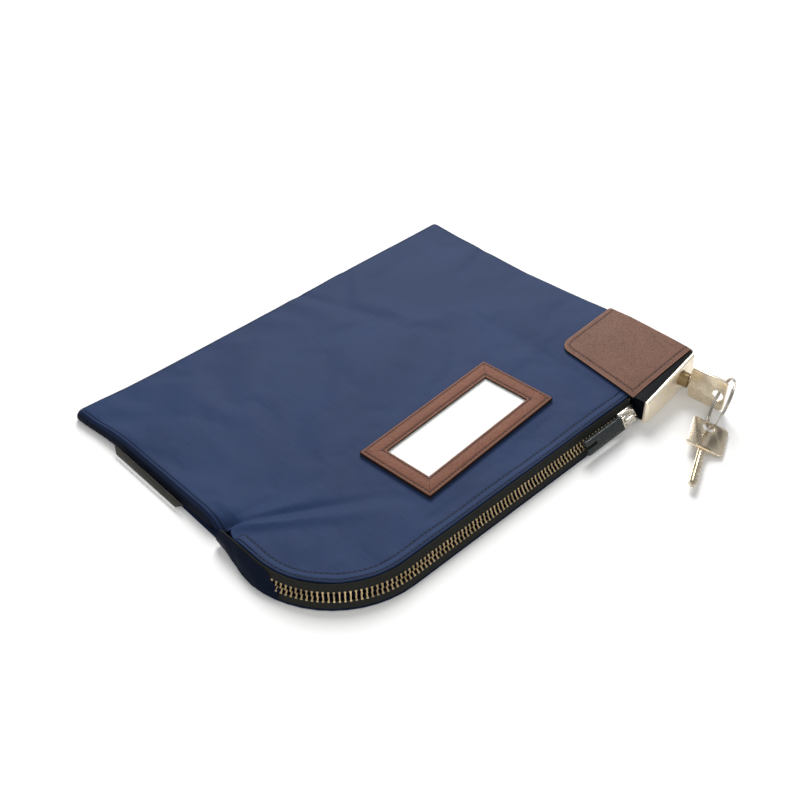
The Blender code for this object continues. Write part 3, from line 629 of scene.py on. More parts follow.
def simulated_ripples():
    """Lets a plain copy of the cloth, cut a little too large, buckle between its sewn edges.

    Gives a function from a place to how far the cloth has moved up there.
    """
    spacing, sewn_width = 4.0 * MM, 10 * MM
    columns = steps(LEFT_X, RIGHT_X, spacing) + [RIGHT_X]
    rows = steps(FRONT_Y, BACK_Y, spacing) + [BACK_Y]
    bm = bmesh.new()
    fill(bm, [[bm.verts.new((x, y, cloth_height(x, y) + fold_height(x, y))) for x in columns] for y in rows])
    mesh = mesh_of(bm, "ripple_cloth")
    before = [v.co.z for v in mesh.vertices]
    cloth = bpy.data.objects.new("ripple_cloth", mesh)
    bpy.context.scene.collection.objects.link(cloth)
    pins = cloth.vertex_groups.new(name="sewn")
    for vert in mesh.vertices:
        inside = min(vert.co.x - LEFT_X, RIGHT_X - vert.co.x, vert.co.y - FRONT_Y, BACK_Y - vert.co.y)
        held = 1 - smooth(inside / sewn_width) * freedom(vert.co.x, vert.co.y)
        pins.add([vert.index], held, "REPLACE")
    modifier = cloth.modifiers.new("cloth", "CLOTH")
    physics = modifier.settings
    physics.quality = 6
    physics.mass = 0.15
    physics.tension_stiffness = physics.compression_stiffness = 12
    physics.shear_stiffness = 8
    physics.bending_stiffness = 0.4
    physics.vertex_group_mass = "sewn"
    physics.pin_stiffness = 1.0
    physics.shrink_min = physics.shrink_max = -settings("cloth").spare
    physics.effector_weights.gravity = 0.0
    modifier.collision_settings.use_collision = False
    scene = bpy.context.scene
    last_frame, cap = 18, 1.5 * MM
    modifier.point_cache.frame_start, modifier.point_cache.frame_end = 1, last_frame
    for number in range(1, last_frame + 1):
        scene.frame_set(number)
    settled = bpy.data.meshes.new_from_object(cloth.evaluated_get(bpy.context.evaluated_depsgraph_get()))
    moved = [RIPPLE_SHARE * max(-cap, min(cap, v.co.z - z)) for v, z in zip(settled.vertices, before)]
    scene.frame_set(1)
    bpy.data.objects.remove(cloth, do_unlink=True)
    bpy.data.meshes.remove(settled)
    across, up = len(columns) - 1, len(rows) - 1

    def ripple(x, y):
        u = clamp01((x - LEFT_X) / (RIGHT_X - LEFT_X)) * across
        v = clamp01((y - FRONT_Y) / (BACK_Y - FRONT_Y)) * up
        i, j = min(int(u), across - 1), min(int(v), up - 1)
        near = lerp(moved[j * (across + 1) + i], moved[j * (across + 1) + i + 1], u - i)
        far = lerp(moved[(j + 1) * (across + 1) + i], moved[(j + 1) * (across + 1) + i + 1], u - i)
        return lerp(near, far, v - j)

    return ripple


def corner_pull(x, y):
    """How far the back left corner is drawn out at a point."""
    return CORNER_PULL * math.exp(-((x - LEFT_X) ** 2 + (y - BACK_Y) ** 2) / CORNER_PULL_WIDTH ** 2)


def top_point(x, y, extra):
    """A point of the top cloth's outside. extra adds the folds."""
    walled = clamp01((y - SIDE_WALL_START_Y) / (SIDE_WALL_FULL_Y - SIDE_WALL_START_Y))
    left = lerp(1.0, edge_roll(x - LEFT_X), walled)
    roll = left * edge_roll(RIGHT_X - x) * edge_roll(BACK_Y - y)
    px, py = rounded(x, y, CORNER_X, CORNER_Y, CORNER_RADIUS, -1, -1)
    for side_x, edge_x in ((-1, LEFT_X), (1, RIGHT_X)):
        px, py = rounded(px, py, edge_x - side_x * BACK_RADIUS, BACK_Y - BACK_RADIUS, BACK_RADIUS, side_x, 1)
    z = lerp(WALL_FOOT, cloth_height(px, py) + extra(px, py), roll)
    pull = corner_pull(px, py)
    return Vector((px + pull.x, py + pull.y, z))


def zip_place(run):
    """Where the zip edge is a length run from the lock, and which way is outward."""
    straight = ZIP_START_X - CORNER_X
    arc = CORNER_RADIUS * math.pi / 2
    if run <= straight:
        return Vector((ZIP_START_X - run, FRONT_Y, 0)), Vector((0, -1, 0))
    if run <= straight + arc:
        turn = (run - straight) / CORNER_RADIUS
        outward = Vector((-math.sin(turn), -math.cos(turn), 0))
        return Vector((CORNER_X, CORNER_Y, 0)) + outward * CORNER_RADIUS, outward
    return Vector((LEFT_X, CORNER_Y + run - straight - arc, 0)), Vector((-1, 0, 0))


def zip_point(run, across, proud=0.0):
    """A point of the zip band: across is 0 at the top cloth and 1 at the bottom one."""
    edge, outward = zip_place(run)
    last = ZIP_END_Y - CORNER_Y
    spread = lerp(ZIP_SPREAD, ZIP_SPREAD_END, clamp01((run - ZIP_LENGTH + last) / last))
    top = cloth_height(edge.x, edge.y) - ZIP_TOP_DROP
    point = edge + outward * (ZIP_GAP + spread * across + proud)
    point.z = lerp(top, ZIP_FOOT, across)
    return point


def teeth_shares(run):
    """Where the two rows of teeth are rooted, as shares of the band: higher up past the slider."""
    raised = smooth((run - 14 * MM) / (40 * MM))
    return tuple(lerp(a, b, raised) for a, b in zip(TEETH, TEETH_RAISED))


def band_mesh(name, runs, low, high, thickness):
    """A strip of the zip band; low and high give its edges at each run."""
    steps_up = 4
    bm = bmesh.new()
    fill(bm, [[bm.verts.new(zip_point(run, lerp(low(run), high(run), k / steps_up)))
               for k in range(steps_up + 1)] for run in runs])
    bmesh.ops.recalc_face_normals(bm, faces=bm.faces)
    return baked(mesh_of(bm, name), ("SOLIDIFY", {"thickness": thickness, "offset": 0.0}))


def zip_facing(run):
    """Which way the zip band looks."""
    _, outward = zip_place(run)
    down = zip_point(run, 1.0) - zip_point(run, 0.0)
    tangent = zip_place(run + 0.5 * MM)[0] - zip_place(run - 0.5 * MM)[0]
    facing = tangent.cross(down)
    return (facing if facing.dot(outward) > 0 else -facing).normalized()


# ---------------------------------------------------------------- making pieces

def mesh_of(bm, name):
    """A mesh from a bmesh, which is freed."""
    mesh = bpy.data.meshes.new(name)
    bm.to_mesh(mesh)
    bm.free()
    return mesh


def fill(bm, grid):
    """Fills a grid of points with faces."""
    for near, far in zip(grid, grid[1:]):
        for i in range(len(near) - 1):
            bm.faces.new((near[i], near[i + 1], far[i + 1], far[i]))


def piece(name, mesh, finish, body, replaces=(), crisp=35.0):
    """Puts a finished mesh in the scene on its body."""
    made = bpy.data.objects.new(name, mesh)
    bpy.context.scene.collection.objects.link(made)
    mesh.materials.clear()
    mesh.materials.append(look(finish))
    mesh.shade_smooth()
    mesh.set_sharp_from_angle(angle=math.radians(crisp))
    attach(made, body)
    if replaces:
        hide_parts(*replaces)
    return made


def baked(mesh, *modifiers):
    """The mesh after those modifiers, given as (type, settings)."""
    holder = bpy.data.objects.new("holder", mesh)
    bpy.context.scene.collection.objects.link(holder)
    for kind, values in modifiers:
        modifier = holder.modifiers.new(kind.lower(), kind)
        for key, value in values.items():
            setattr(modifier, key, value)
    bpy.context.view_layer.update()
    result = bpy.data.meshes.new_from_object(holder.evaluated_get(bpy.context.evaluated_depsgraph_get()))
    bpy.data.objects.remove(holder, do_unlink=True)
    return result


def tidy(bm):
    """Merges doubles and turns the faces outward."""
    bmesh.ops.remove_doubles(bm, verts=bm.verts, dist=1e-6)
    bmesh.ops.recalc_face_normals(bm, faces=bm.faces)
    return bm


def softened(node, width, segments=2):
    """A copy of a frame part with its loose triangles joined and its sharp edges rounded."""
    bm = bmesh.new()
    bm.from_mesh(frame["nodes"][node].data)
    bmesh.ops.remove_doubles(bm, verts=bm.verts, dist=2e-6)
    bmesh.ops.dissolve_limit(bm, angle_limit=math.radians(0.6), verts=bm.verts, edges=bm.edges)
    mesh = mesh_of(bm, node + "_soft")
    if not width:
        return mesh
    return baked(mesh, ("BEVEL", {"width": width, "segments": segments, "limit_method": "ANGLE",
                                  "angle_limit": math.radians(32), "harden_normals": False,
                                  "use_clamp_overlap": True}))


def keep(node, finish, body=None, width=0.0, segments=2):
    """Stands a softened copy in for a frame part."""
    source = frame["nodes"][node]
    return piece(node + "_finished", softened(node, width, segments), finish, body or source["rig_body"],
                 (node,))


def box(low, high):
    """A bmesh box between two corners."""
    bm = bmesh.new()
    bmesh.ops.create_cube(bm, size=1.0)
    for vert in bm.verts:
        right, back, up = (value > 0 for value in vert.co)
        vert.co = (high[0] if right else low[0], high[1] if back else low[1], high[2] if up else low[2])
    return bm


def cut(mesh, *cutters):
    """The mesh with closed meshes taken out of it."""
    helpers, modifiers = [], []
    for cutter in cutters:
        helper = bpy.data.objects.new("cutter", cutter)
        bpy.context.scene.collection.objects.link(helper)
        helpers.append(helper)
        modifiers.append(("BOOLEAN", {"operation": "DIFFERENCE", "solver": "EXACT", "object": helper}))
    result = baked(mesh, *modifiers)
    for helper in helpers:
        bpy.data.objects.remove(helper, do_unlink=True)
    return result


def cylinder(radius, start, end, place, segments=40):
    """A closed cylinder along Y of a place."""
    bm = bmesh.new()
    bmesh.ops.create_cone(bm, cap_ends=True, segments=segments, radius1=radius, radius2=radius,
                          depth=end - start)
    bm.transform(place @ Matrix.Translation((0, (start + end) / 2, 0))
                 @ Matrix.Rotation(math.radians(90), 4, "X"))
    return mesh_of(tidy(bm), "cylinder")


def swept(points, section, up, closed=False):
    """A tube through points; section is the radius at each point, or one radius."""
    count = len(points)
    sides = 10
    bm = bmesh.new()
    rings = []
    up = Vector(up)
    for i, point in enumerate(points):
        before = points[i - 1] if i or closed else points[0]
        after = points[(i + 1) % count] if i < count - 1 or closed else points[-1]
        tangent = (after - before).normalized()
        side = tangent.cross(up).normalized()
        top = side.cross(tangent)
        radius = section[i] if isinstance(section, (list, tuple)) else section
        rings.append([bm.verts.new(point + radius * (side * math.cos(2 * math.pi * k / sides)
                                                     + top * math.sin(2 * math.pi * k / sides)))
                      for k in range(sides)])
    spans = range(count) if closed else range(count - 1)
    for i in spans:
        ring, following = rings[i], rings[(i + 1) % count]
        for k in range(sides):
            bm.faces.new((ring[k], ring[(k + 1) % sides], following[(k + 1) % sides], following[k]))
    if not closed:
        bm.faces.new(rings[0])
        bm.faces.new(reversed(rings[-1]))
    return tidy(bm)


# ---------------------------------------------------------------- rows of like pieces

def row_tree():
    """The Geometry Nodes tree that sets a shape along a line at even steps."""
    name = "row_of_pieces"
    if name in bpy.data.node_groups:
        return bpy.data.node_groups[name]
    tree = bpy.data.node_groups.new(name, "GeometryNodeTree")
    faces = tree.interface
    faces.new_socket("Geometry", in_out="OUTPUT", socket_type="NodeSocketGeometry")
    inputs = (("Line", "Geometry", None), ("Shape", "Object", None), ("Count", "Int", 10),
              ("Size", "Vector", (1.0, 1.0, 1.0)), ("Jitter", "Float", 0.0), ("Seed", "Int", 7),
              ("Finish", "Material", None))
    for label, kind, default in inputs:
        made = faces.new_socket(label, in_out="INPUT", socket_type="NodeSocket" + kind)
        if default is not None:
            made.default_value = default

    def node(kind, values=None, **props):
        made = tree.nodes.new(kind)
        for key, value in props.items():
            setattr(made, key, value)
        for key, value in (values or {}).items():
            if isinstance(value, bpy.types.NodeSocket):
                tree.links.new(value, made.inputs[key])
            else:
                made.inputs[key].default_value = value
        return made

    given = node("NodeGroupInput").outputs
    line = node("GeometryNodeMeshToCurve", {"Mesh": given["Line"]}).outputs["Curve"]
    line = node("GeometryNodeResampleCurve", {"Curve": line, "Count": given["Count"]},
                mode="COUNT").outputs[0]
    tangent = node("GeometryNodeInputTangent").outputs[0]
    facing = node("GeometryNodeInputNamedAttribute", {"Name": "facing"}, data_type="FLOAT_VECTOR")
    facing = next(s for s in facing.outputs if s.enabled and s.name == "Attribute")
    turn = node("FunctionNodeAlignRotationToVector", {"Vector": facing}, axis="Y").outputs[0]
    turn = node("FunctionNodeAlignRotationToVector", {"Rotation": turn, "Vector": tangent}, axis="X",
                pivot_axis="Y").outputs[0]
    less = node("ShaderNodeMath", {0: given["Jitter"], 1: -1.0}, operation="MULTIPLY").outputs[0]
    shake = node("FunctionNodeRandomValue", {"Seed": given["Seed"]}, data_type="FLOAT_VECTOR")
    tree.links.new(less, shake.inputs["Min"])
    tree.links.new(given["Jitter"], shake.inputs["Max"])
    wobble = node("FunctionNodeEulerToRotation", {0: shake.outputs[0]}).outputs[0]
    turn = node("FunctionNodeRotateRotation", {0: turn, 1: wobble}, rotation_space="LOCAL").outputs[0]
    shape = node("GeometryNodeObjectInfo", {"Object": given["Shape"]}).outputs["Geometry"]
    placed = node("GeometryNodeInstanceOnPoints", {"Points": line, "Instance": shape, "Rotation": turn,
                                                   "Scale": given["Size"]}).outputs[0]
    real = node("GeometryNodeRealizeInstances", {"Geometry": placed}).outputs[0]
    done = node("GeometryNodeSetMaterial", {"Geometry": real, "Material": given["Finish"]}).outputs[0]
    tree.links.new(done, node("NodeGroupOutput").inputs[0])
    return tree


def row(points, facings, shape, count, size, finish, jitter=0.0):
    """A mesh of count shapes along a line. facings give the way each shape's Y looks."""
    bm = bmesh.new()
    verts = [bm.verts.new(point) for point in points]
    for a, b in zip(verts, verts[1:]):
        bm.edges.new((a, b))
    line = mesh_of(bm, "line")
    stored = line.attributes.new("facing", "FLOAT_VECTOR", "POINT")
    for item, facing in zip(stored.data, facings):
        item.vector = facing
    template = bpy.data.objects.new("template", shape)
    holder = bpy.data.objects.new("row", line)
    for made in (template, holder):
        bpy.context.scene.collection.objects.link(made)
    modifier = holder.modifiers.new("row", "NODES")
    modifier.node_group = row_tree()
    values = {"Shape": template, "Count": count, "Size": size, "Jitter": jitter, "Seed": 7,
              "Finish": look(finish)}
    for item in modifier.node_group.interface.items_tree:
        if item.name in values:
            modifier[item.identifier] = values[item.name]
    bpy.context.view_layer.update()
    result = bpy.data.meshes.new_from_object(holder.evaluated_get(bpy.context.evaluated_depsgraph_get()))
    for made in (holder, template):
        bpy.data.objects.remove(made, do_unlink=True)
    return result


def joined(name, meshes):
    """One mesh from several."""
    bm = bmesh.new()
    for mesh in meshes:
        bm.from_mesh(mesh)
    return mesh_of(bm, name)


def stitch_shape():
    """One stitch, a unit long."""
    bm = bmesh.new()
    bmesh.ops.create_uvsphere(bm, u_segments=8, v_segments=5, radius=0.5)
    bm.transform(Matrix.Rotation(math.radians(90), 4, "Y"))
    return mesh_of(bm, "stitch")


def stitches(lines, pitch, finish, length=0.72, width=0.62 * MM):
    """Rows of stitches, each line a list of (point, facing)."""
    rows = []
    for line in lines:
        points = [point for point, _ in line]
        run = sum((b - a).length for a, b in zip(points, points[1:]))
        size = (pitch * length, width * 0.7, width)
        rows.append(row(points, [facing for _, facing in line], stitch_shape(), max(2, round(run / pitch)),
                        size, finish, 0.12))
    return joined("stitches", rows)


# ---------------------------------------------------------------- pieces

def store(mesh, name, measure):
    """Keeps a number at each point of a mesh; measure gives it from X and Y."""
    attribute = mesh.attributes.new(name, "FLOAT", "POINT")
    attribute.data.foreach_set("value", [measure(v.co.x, v.co.y) for v in mesh.vertices])


class BAG_OT_cloth(bpy.types.Operator):
    """Make the top and bottom cloth"""
    bl_idname = "deposit_bag.cloth"
    bl_label = "Cloth"

    def execute(self, context):
        ripple = (lambda x, y: 0.0)
        if settings("cloth").simulate:
            ripple = simulated_ripples()
        self.top(ripple)
        self.bottom()
        self.end_cover()
        return {"FINISHED"}

    def top(self, ripple):
        """The top cloth with its hem."""
        left = [LEFT_X + inside for inside in ROLL_STEPS]
        right = [RIGHT_X - inside for inside in reversed(ROLL_STEPS)]
        back = [BACK_Y - inside for inside in reversed(ROLL_STEPS)]
        columns = (left + steps(LEFT_X + WALL_RADIUS, -60 * MM, 1.25 * MM)
                   + steps(-60 * MM, RIGHT_X - WALL_RADIUS, 2 * MM)
                   + [RIGHT_X - WALL_RADIUS] + right)
        rows = ([FRONT_Y + d * MM for d in (0.0, 0.35, 0.8, 1.5)]
                + steps(FRONT_Y + 2.4 * MM, 15 * MM, 1.25 * MM)
                + steps(15 * MM, BACK_Y - WALL_RADIUS, 2 * MM) + [BACK_Y - WALL_RADIUS] + back)

        def extra(x, y):
            inside = hem_distance(x, y)
            puff = 0.0
            if x < PATCH_X - 10 * MM:
                puff = 0.45 * MM * math.sin(math.pi * clamp01(inside / (6 * MM)))
            hem = 0.7 * MM * (1 - edge_roll(inside * 4)) if inside < 3 * MM else 0.0
            return fold_height(x, y) + ripple(x, y) + puff - hem

        bm = bmesh.new()
        grid = []
        for y in rows:
            line = []
            for x in columns:
                point = top_point(x, y, extra)
                pull = math.exp(-((Vector((point.x, point.y)) - PUCKER).length / (8 * MM)) ** 2)
                point.x += 4.5 * MM * pull
                line.append(bm.verts.new(point))
            grid.append(line)
        fill(bm, grid)
        last = sum(1 for y in rows if y < SIDE_WALL_START_Y)
        border = [line[0] for line in grid[last - 1:0:-1]] + list(grid[0])
        ring = border
        for drop, out in ((0.12, 0.35), (0.4, 0.6), (0.8, 0.7), (1.3, 0.62)):
            following = []
            for vert in border:
                x, y = vert.co.x, vert.co.y
                if x < CORNER_X and y < CORNER_Y:
                    outward = Vector((x - CORNER_X, y - CORNER_Y, 0)).normalized()
                else:
                    outward = Vector((0, -1, 0)) if y < CORNER_Y else Vector((-1, 0, 0))
                following.append(bm.verts.new(vert.co + (outward * out - Vector((0, 0, drop))) * MM))
            for k in range(len(border) - 1):
                bm.faces.new((ring[k], following[k], following[k + 1], ring[k + 1]))
            ring = following
        mesh = mesh_of(bm, "top_cloth")
        store(mesh, "hem_distance", hem_distance)
        store(mesh, "seam_distance",
              lambda x, y: seam_distance(x - corner_pull(x, y).x, y - corner_pull(x, y).y))
        mesh = baked(mesh, ("SOLIDIFY", {"thickness": CLOTH, "offset": -1.0}))
        made = piece("top_cloth", mesh, "top_cloth", "bag", ("top_panel",), 60.0)

    def bottom(self):
        """The bottom cloth, its navy dimmed as painted shade."""
        mesh = softened("bottom_panel", 0.4 * MM, 3)
        for vert in mesh.vertices:
            for side_x, edge_x in ((-1, LEFT_X), (1, RIGHT_X)):
                start_x, start_y = edge_x - side_x * BACK_RADIUS, BACK_Y - BACK_RADIUS
                a, b = (vert.co.x - start_x) * side_x, vert.co.y - start_y
                if a > 0 and b > 0:
                    short = min(1.0, BACK_RADIUS / math.hypot(a, b))
                    vert.co.x, vert.co.y = start_x + a * short * side_x, start_y + b * short
        made = piece("bottom_cloth", mesh, "under_cloth_painted_shade", "bag", ("bottom_panel",))

    def end_cover(self):
        """The fold of cloth over the blind end of the zip, its navy dimmed nearly to black as painted shade.
        """
        runs = steps(ZIP_LENGTH - ZIP_HIDDEN, ZIP_LENGTH + 3 * MM, 2 * MM)
        shares = [i / 10 for i in range(11)]
        bm = bmesh.new()
        grid = []
        for run in runs:
            along = (run - runs[0]) / (runs[-1] - runs[0])
            line = []
            for share in shares:
                across = lerp(0.02 + 0.5 * (1 - smooth(along * 4)), 0.97, share)
                proud = (1.2 + 1.1 * math.sin(math.pi * clamp01(share)) * smooth(along * 3)) * MM
                proud += 0.6 * MM * noise.noise(Vector((run * 120, share * 2, 0)))
                line.append(bm.verts.new(zip_point(run, across, proud)))
            grid.append(line)
        fill(bm, grid)
        bmesh.ops.recalc_face_normals(bm, faces=bm.faces)
        mesh = baked(mesh_of(bm, "zip_end_fold"), ("SOLIDIFY", {"thickness": 0.7 * MM, "offset": -1.0}))
        piece("zip_end_fold", mesh, "fold_cloth_painted_shade", "bag", (), 60.0)


def tooth_shape():
    """One crimped tooth, hanging down Z from its root, with its nib at the tip."""
    parts = (
        ((-0.46, -0.7, -2.7), (0.46, 0.7, 0.15)),
        ((-0.66, -0.95, -0.8), (0.66, 0.95, 0.35)),
        ((-0.6, -0.45, -2.9), (0.6, 0.6, -2.1)),
    )
    bm = bmesh.new()
    for low, high in parts:
        part = box([c * MM for c in low], [c * MM for c in high])
        bmesh.ops.bevel(part, geom=part.edges[:], offset=0.22 * MM, segments=1, affect="EDGES",
                        clamp_overlap=True)
        mesh = mesh_of(part, "part")
        bm.from_mesh(mesh)
        bpy.data.meshes.remove(mesh)
    return mesh_of(bm, "tooth")


class BAG_OT_zip(bpy.types.Operator):
    """Make the zip's teeth, tapes and stops"""
    bl_idname = "deposit_bag.zip"
    bl_label = "Zip"

    def execute(self, context):
        pitch = settings("zip").pitch
        first, last = 2.0 * MM, ZIP_LENGTH - ZIP_HIDDEN + 6 * MM
        count = int((last - first) / pitch)
        spans = count * 3
        shape = tooth_shape()
        for name, row_number, shift, node, backward in (("upper_row", 0, 0.0, "upper_teeth", True),
                                                        ("lower_row", 1, 0.5, "lower_teeth", False)):
            runs = [first + pitch * shift + pitch * count * i / spans for i in range(spans + 1)]
            if backward:
                runs.reverse()
            points = [zip_point(run, teeth_shares(run)[row_number]) for run in runs]
            mesh = row(points, [-zip_facing(run) for run in runs], shape.copy(), count + 1, (1, 1, 1),
                       "teeth", 0.03)
            piece(name, mesh, "teeth", "bag", (node,), 30.0)
        runs = steps(0.0, ZIP_LENGTH, 2.5 * MM) + [ZIP_LENGTH]
        for name, low, high, node in (
                ("upper_tape", lambda run: 0.0, lambda run: teeth_shares(run)[0] + 0.03, "upper_zip_tape"),
                ("lower_tape", lambda run: teeth_shares(run)[1] - 0.03, lambda run: 1.0, "lower_zip_tape")):
            piece(name, band_mesh(name, runs, low, high, 0.7 * MM), "tape", "bag", (node,))
        for node in ("zip_end_box", "zip_top_stop"):
            keep(node, "teeth", width=0.4 * MM)
        return {"FINISHED"}


class BAG_OT_corner(bpy.types.Operator):
    """Make the leatherette corner, over and under the lock"""
    bl_idname = "deposit_bag.corner"
    bl_label = "Leatherette corner"
    RADIUS = 8.0 * MM

    def edge_distance(self, x, y):
        """How far inside the patch's cut edges a point is."""
        share = PATCH_SKEW * (PATCH_Y - y) / (RIGHT_X - PATCH_X)
        x = (x + share * RIGHT_X) / (1 + share)
        left, back, front = x - PATCH_X, PATCH_Y - y, y - PATCH_FRONT
        if left < self.RADIUS and back < self.RADIUS:
            corner = math.hypot(self.RADIUS - left, self.RADIUS - back)
            return min(self.RADIUS - corner, front)
        return min(left, back, front)

    def surface(self, x, y, lift):
        """A point lifted off the cloth under the patch, and the way it faces."""
        level = (lambda px, py: 0.0)
        x -= PATCH_SKEW * (PATCH_Y - y) * (RIGHT_X - x) / (RIGHT_X - PATCH_X)
        over = max(0.0, FRONT_Y - y)
        y += over
        point = top_point(x, y, level)
        step = 0.3 * MM
        east, north = top_point(x + step, y, level), top_point(x, y + step, level)
        west, south = top_point(x - step, y, level), top_point(x, y - step, level)
        normal = (east - west).cross(north - south).normalized()
        return point + normal * lift - Vector((0, over, over * 0.04)), normal

    def execute(self, context):
        right = [RIGHT_X - inside for inside in reversed(ROLL_STEPS)]
        columns = steps(PATCH_X, RIGHT_X - WALL_RADIUS, 1.5 * MM) + [RIGHT_X - WALL_RADIUS] + right[:-1]
        columns.append(RIGHT_X - 0.02 * MM)
        rows = steps(PATCH_FRONT, PATCH_Y, 1.5 * MM) + [PATCH_Y]
        bm = bmesh.new()
        grid = []
        for y in rows:
            line = []
            for x in columns:
                px, py = rounded(x, y, PATCH_X + self.RADIUS, PATCH_Y - self.RADIUS, self.RADIUS, -1, 1)
                line.append(bm.verts.new(self.surface(px, py, PATCH_LIFT)[0]))
            grid.append(line)
        fill(bm, grid)
        mesh = mesh_of(bm, "corner_patch")
        store(mesh, "edge_distance", self.edge_distance)
        mesh = baked(mesh, ("SOLIDIFY", {"thickness": PATCH, "offset": 1.0}),
                     ("BEVEL", {"width": 0.5 * MM, "segments": 3, "limit_method": "ANGLE",
                                "angle_limit": math.radians(50)}))
        piece("corner_patch", mesh, "corner", "bag", ("corner_patch_top",), 60.0)
        keep("corner_patch_bottom", "corner_plain", width=0.35 * MM, segments=3)

        inset = 3.6 * MM
        bend = self.RADIUS - inset
        centre = (PATCH_X + self.RADIUS, PATCH_Y - self.RADIUS)
        back = [(x, PATCH_Y - inset) for x in steps(150 * MM, centre[0], -2 * MM)]
        arc = [(centre[0] - bend * math.sin(math.radians(a)), centre[1] + bend * math.cos(math.radians(a)))
               for a in range(0, 91, 15)]
        side = [(PATCH_X + inset, y) for y in steps(centre[1], PATCH_FRONT + inset, -2 * MM)]
        front = [(x, PATCH_FRONT + inset) for x in steps(PATCH_X + inset, 150 * MM, 2 * MM)]
        lines = []
        for path in (back + arc + side[1:], front):
            lines.append([self.surface(x, y, PATCH_LIFT + PATCH + 0.02 * MM) for x, y in path])
        sewn = stitches(lines, settings("leatherette").stitch, "brown_thread")
        piece("corner_stitches", sewn, "brown_thread", "bag")
        return {"FINISHED"}


class BAG_OT_card_frame(bpy.types.Operator):
    """Make the mitred card frame, its window, card and stitches"""
    bl_idname = "deposit_bag.card_frame"
    bl_label = "Card frame"
    PROFILE = ((0.0, 0.35), (0.0, 2.2), (0.03, 2.6), (0.08, 2.85), (0.165, 2.74), (0.26, 3.02), (0.5, 3.1),
               (0.72, 3.02), (0.835, 2.74), (0.92, 2.85), (0.975, 2.55), (1.0, 2.1), (1.0, 1.5), (0.66, 1.5),
               (0.66, 0.35))

    def corner(self, share, z, sx, sy):
        """A corner of the frame a share of the way in from its outer edge."""
        return Vector((sx * lerp(LABEL_OUTER[0], LABEL_INNER[0], share),
                       sy * lerp(LABEL_OUTER[1], LABEL_INNER[1], share), z * MM))

    def execute(self, context):
        place = label_place()
        corners = ((-1, -1), (1, -1), (1, 1), (-1, 1))
        bm = bmesh.new()
        gap, cuts = 0.10 * MM, 20
        for number in range(4):
            start, end = corners[number], corners[(number + 1) % 4]
            strips = []
            for share, z in self.PROFILE:
                a, b = self.corner(share, z, *start), self.corner(share, z, *end)
                along = (b - a).normalized()
                run = [a + along * gap + (b - a - along * 2 * gap) * (k / cuts) for k in range(cuts + 1)]
                for k, point in enumerate(run):
                    if z > 2.3:
                        point.z += 0.12 * MM * noise.noise(Vector((k * 0.9, number * 7.0, share * 2)))
                strips.append([bm.verts.new(point) for point in run])
            around = len(strips)
            for s in range(around):
                lower, upper = strips[s], strips[(s + 1) % around]
                for k in range(cuts):
                    bm.faces.new((lower[k], lower[k + 1], upper[k + 1], upper[k]))
            bm.faces.new([strip[0] for strip in strips])
            bm.faces.new([strip[-1] for strip in reversed(strips)])
        tidy(bm)
        mesh = mesh_of(bm, "card_frame")

        def edge(x, y):
            outer = min(LABEL_OUTER[0] - abs(x), LABEL_OUTER[1] - abs(y))
            inner = max(abs(x) - LABEL_INNER[0], abs(y) - LABEL_INNER[1])
            return min(outer, inner)

        store(mesh, "edge_distance", edge)
        mesh.transform(place)
        piece("card_frame", mesh, "border", "bag", ("label_frame",), 50.0)

        lines = []
        facing = place.to_3x3() @ Vector((0, 0, 1))
        for share in (0.165, 0.835):
            for number in range(4):
                a = self.corner(share, 2.84, *corners[number])
                b = self.corner(share, 2.84, *corners[(number + 1) % 4])
                pad = (b - a).normalized() * 0.8 * MM
                lines.append([(place @ a.lerp(b, t / 12) + place.to_3x3() @ (pad * (1 - t / 6)), facing)
                              for t in range(13)])
        piece("card_frame_stitches", stitches(lines, 2.6 * MM, "brown_thread", 0.72, 0.75 * MM),
              "brown_thread", "bag")
        keep("label_card", "card")
        keep("label_window", "window")
        return {"FINISHED"}


class BAG_OT_hem_stitches(bpy.types.Operator):
    """Sew the hem beside the zip"""
    bl_idname = "deposit_bag.hem_stitches"
    bl_label = "Hem stitches"

    def execute(self, context):
        top = bpy.data.objects["top_cloth"]
        samples = 160
        lines = []
        for inset, start, end in ((6.0 * MM, 6 * MM, ZIP_LENGTH - 14 * MM),
                                  (1.7 * MM, 6 * MM, ZIP_LENGTH - 30 * MM)):
            line = []
            for i in range(samples + 1):
                edge, outward = zip_place(lerp(start, end, i / samples))
                at = edge - outward * inset
                hit, point, normal, _ = top.ray_cast(Vector((at.x, at.y, 0.1)), Vector((0, 0, -1)))
                if hit:
                    line.append((point + normal * 0.02 * MM, normal.copy()))
            lines.append(line)
        mesh = stitches(lines, settings("leatherette").stitch, "navy_thread", 0.75, 0.5 * MM)
        piece("hem_stitches", mesh, "navy_thread", "bag")
        return {"FINISHED"}


class BAG_OT_tag(bpy.types.Operator):
    """Make the tag in the left seam"""
    bl_idname = "deposit_bag.tag"
    bl_label = "Seam tag"

    def execute(self, context):
        # The sleeve's dark, nearly opaque olive is partly painted shade.
        keep("side_tag_sleeve", "tag", width=0.12 * MM)
        keep("side_tag_insert", "card", width=0.15 * MM)
        return {"FINISHED"}


def slider_place():
    """On the middle of the teeth: X along the zip, Z up the band, -Y straight out of it."""
    middle = zip_point(ZIP_START_X - SLIDER_X, sum(TEETH) / 2)
    top, foot = zip_point(0.0, 0.0), zip_point(0.0, 1.0)
    return Matrix.Translation(middle) @ Matrix.Rotation(-math.atan2(top.y - foot.y, top.z - foot.z), 4, "X")


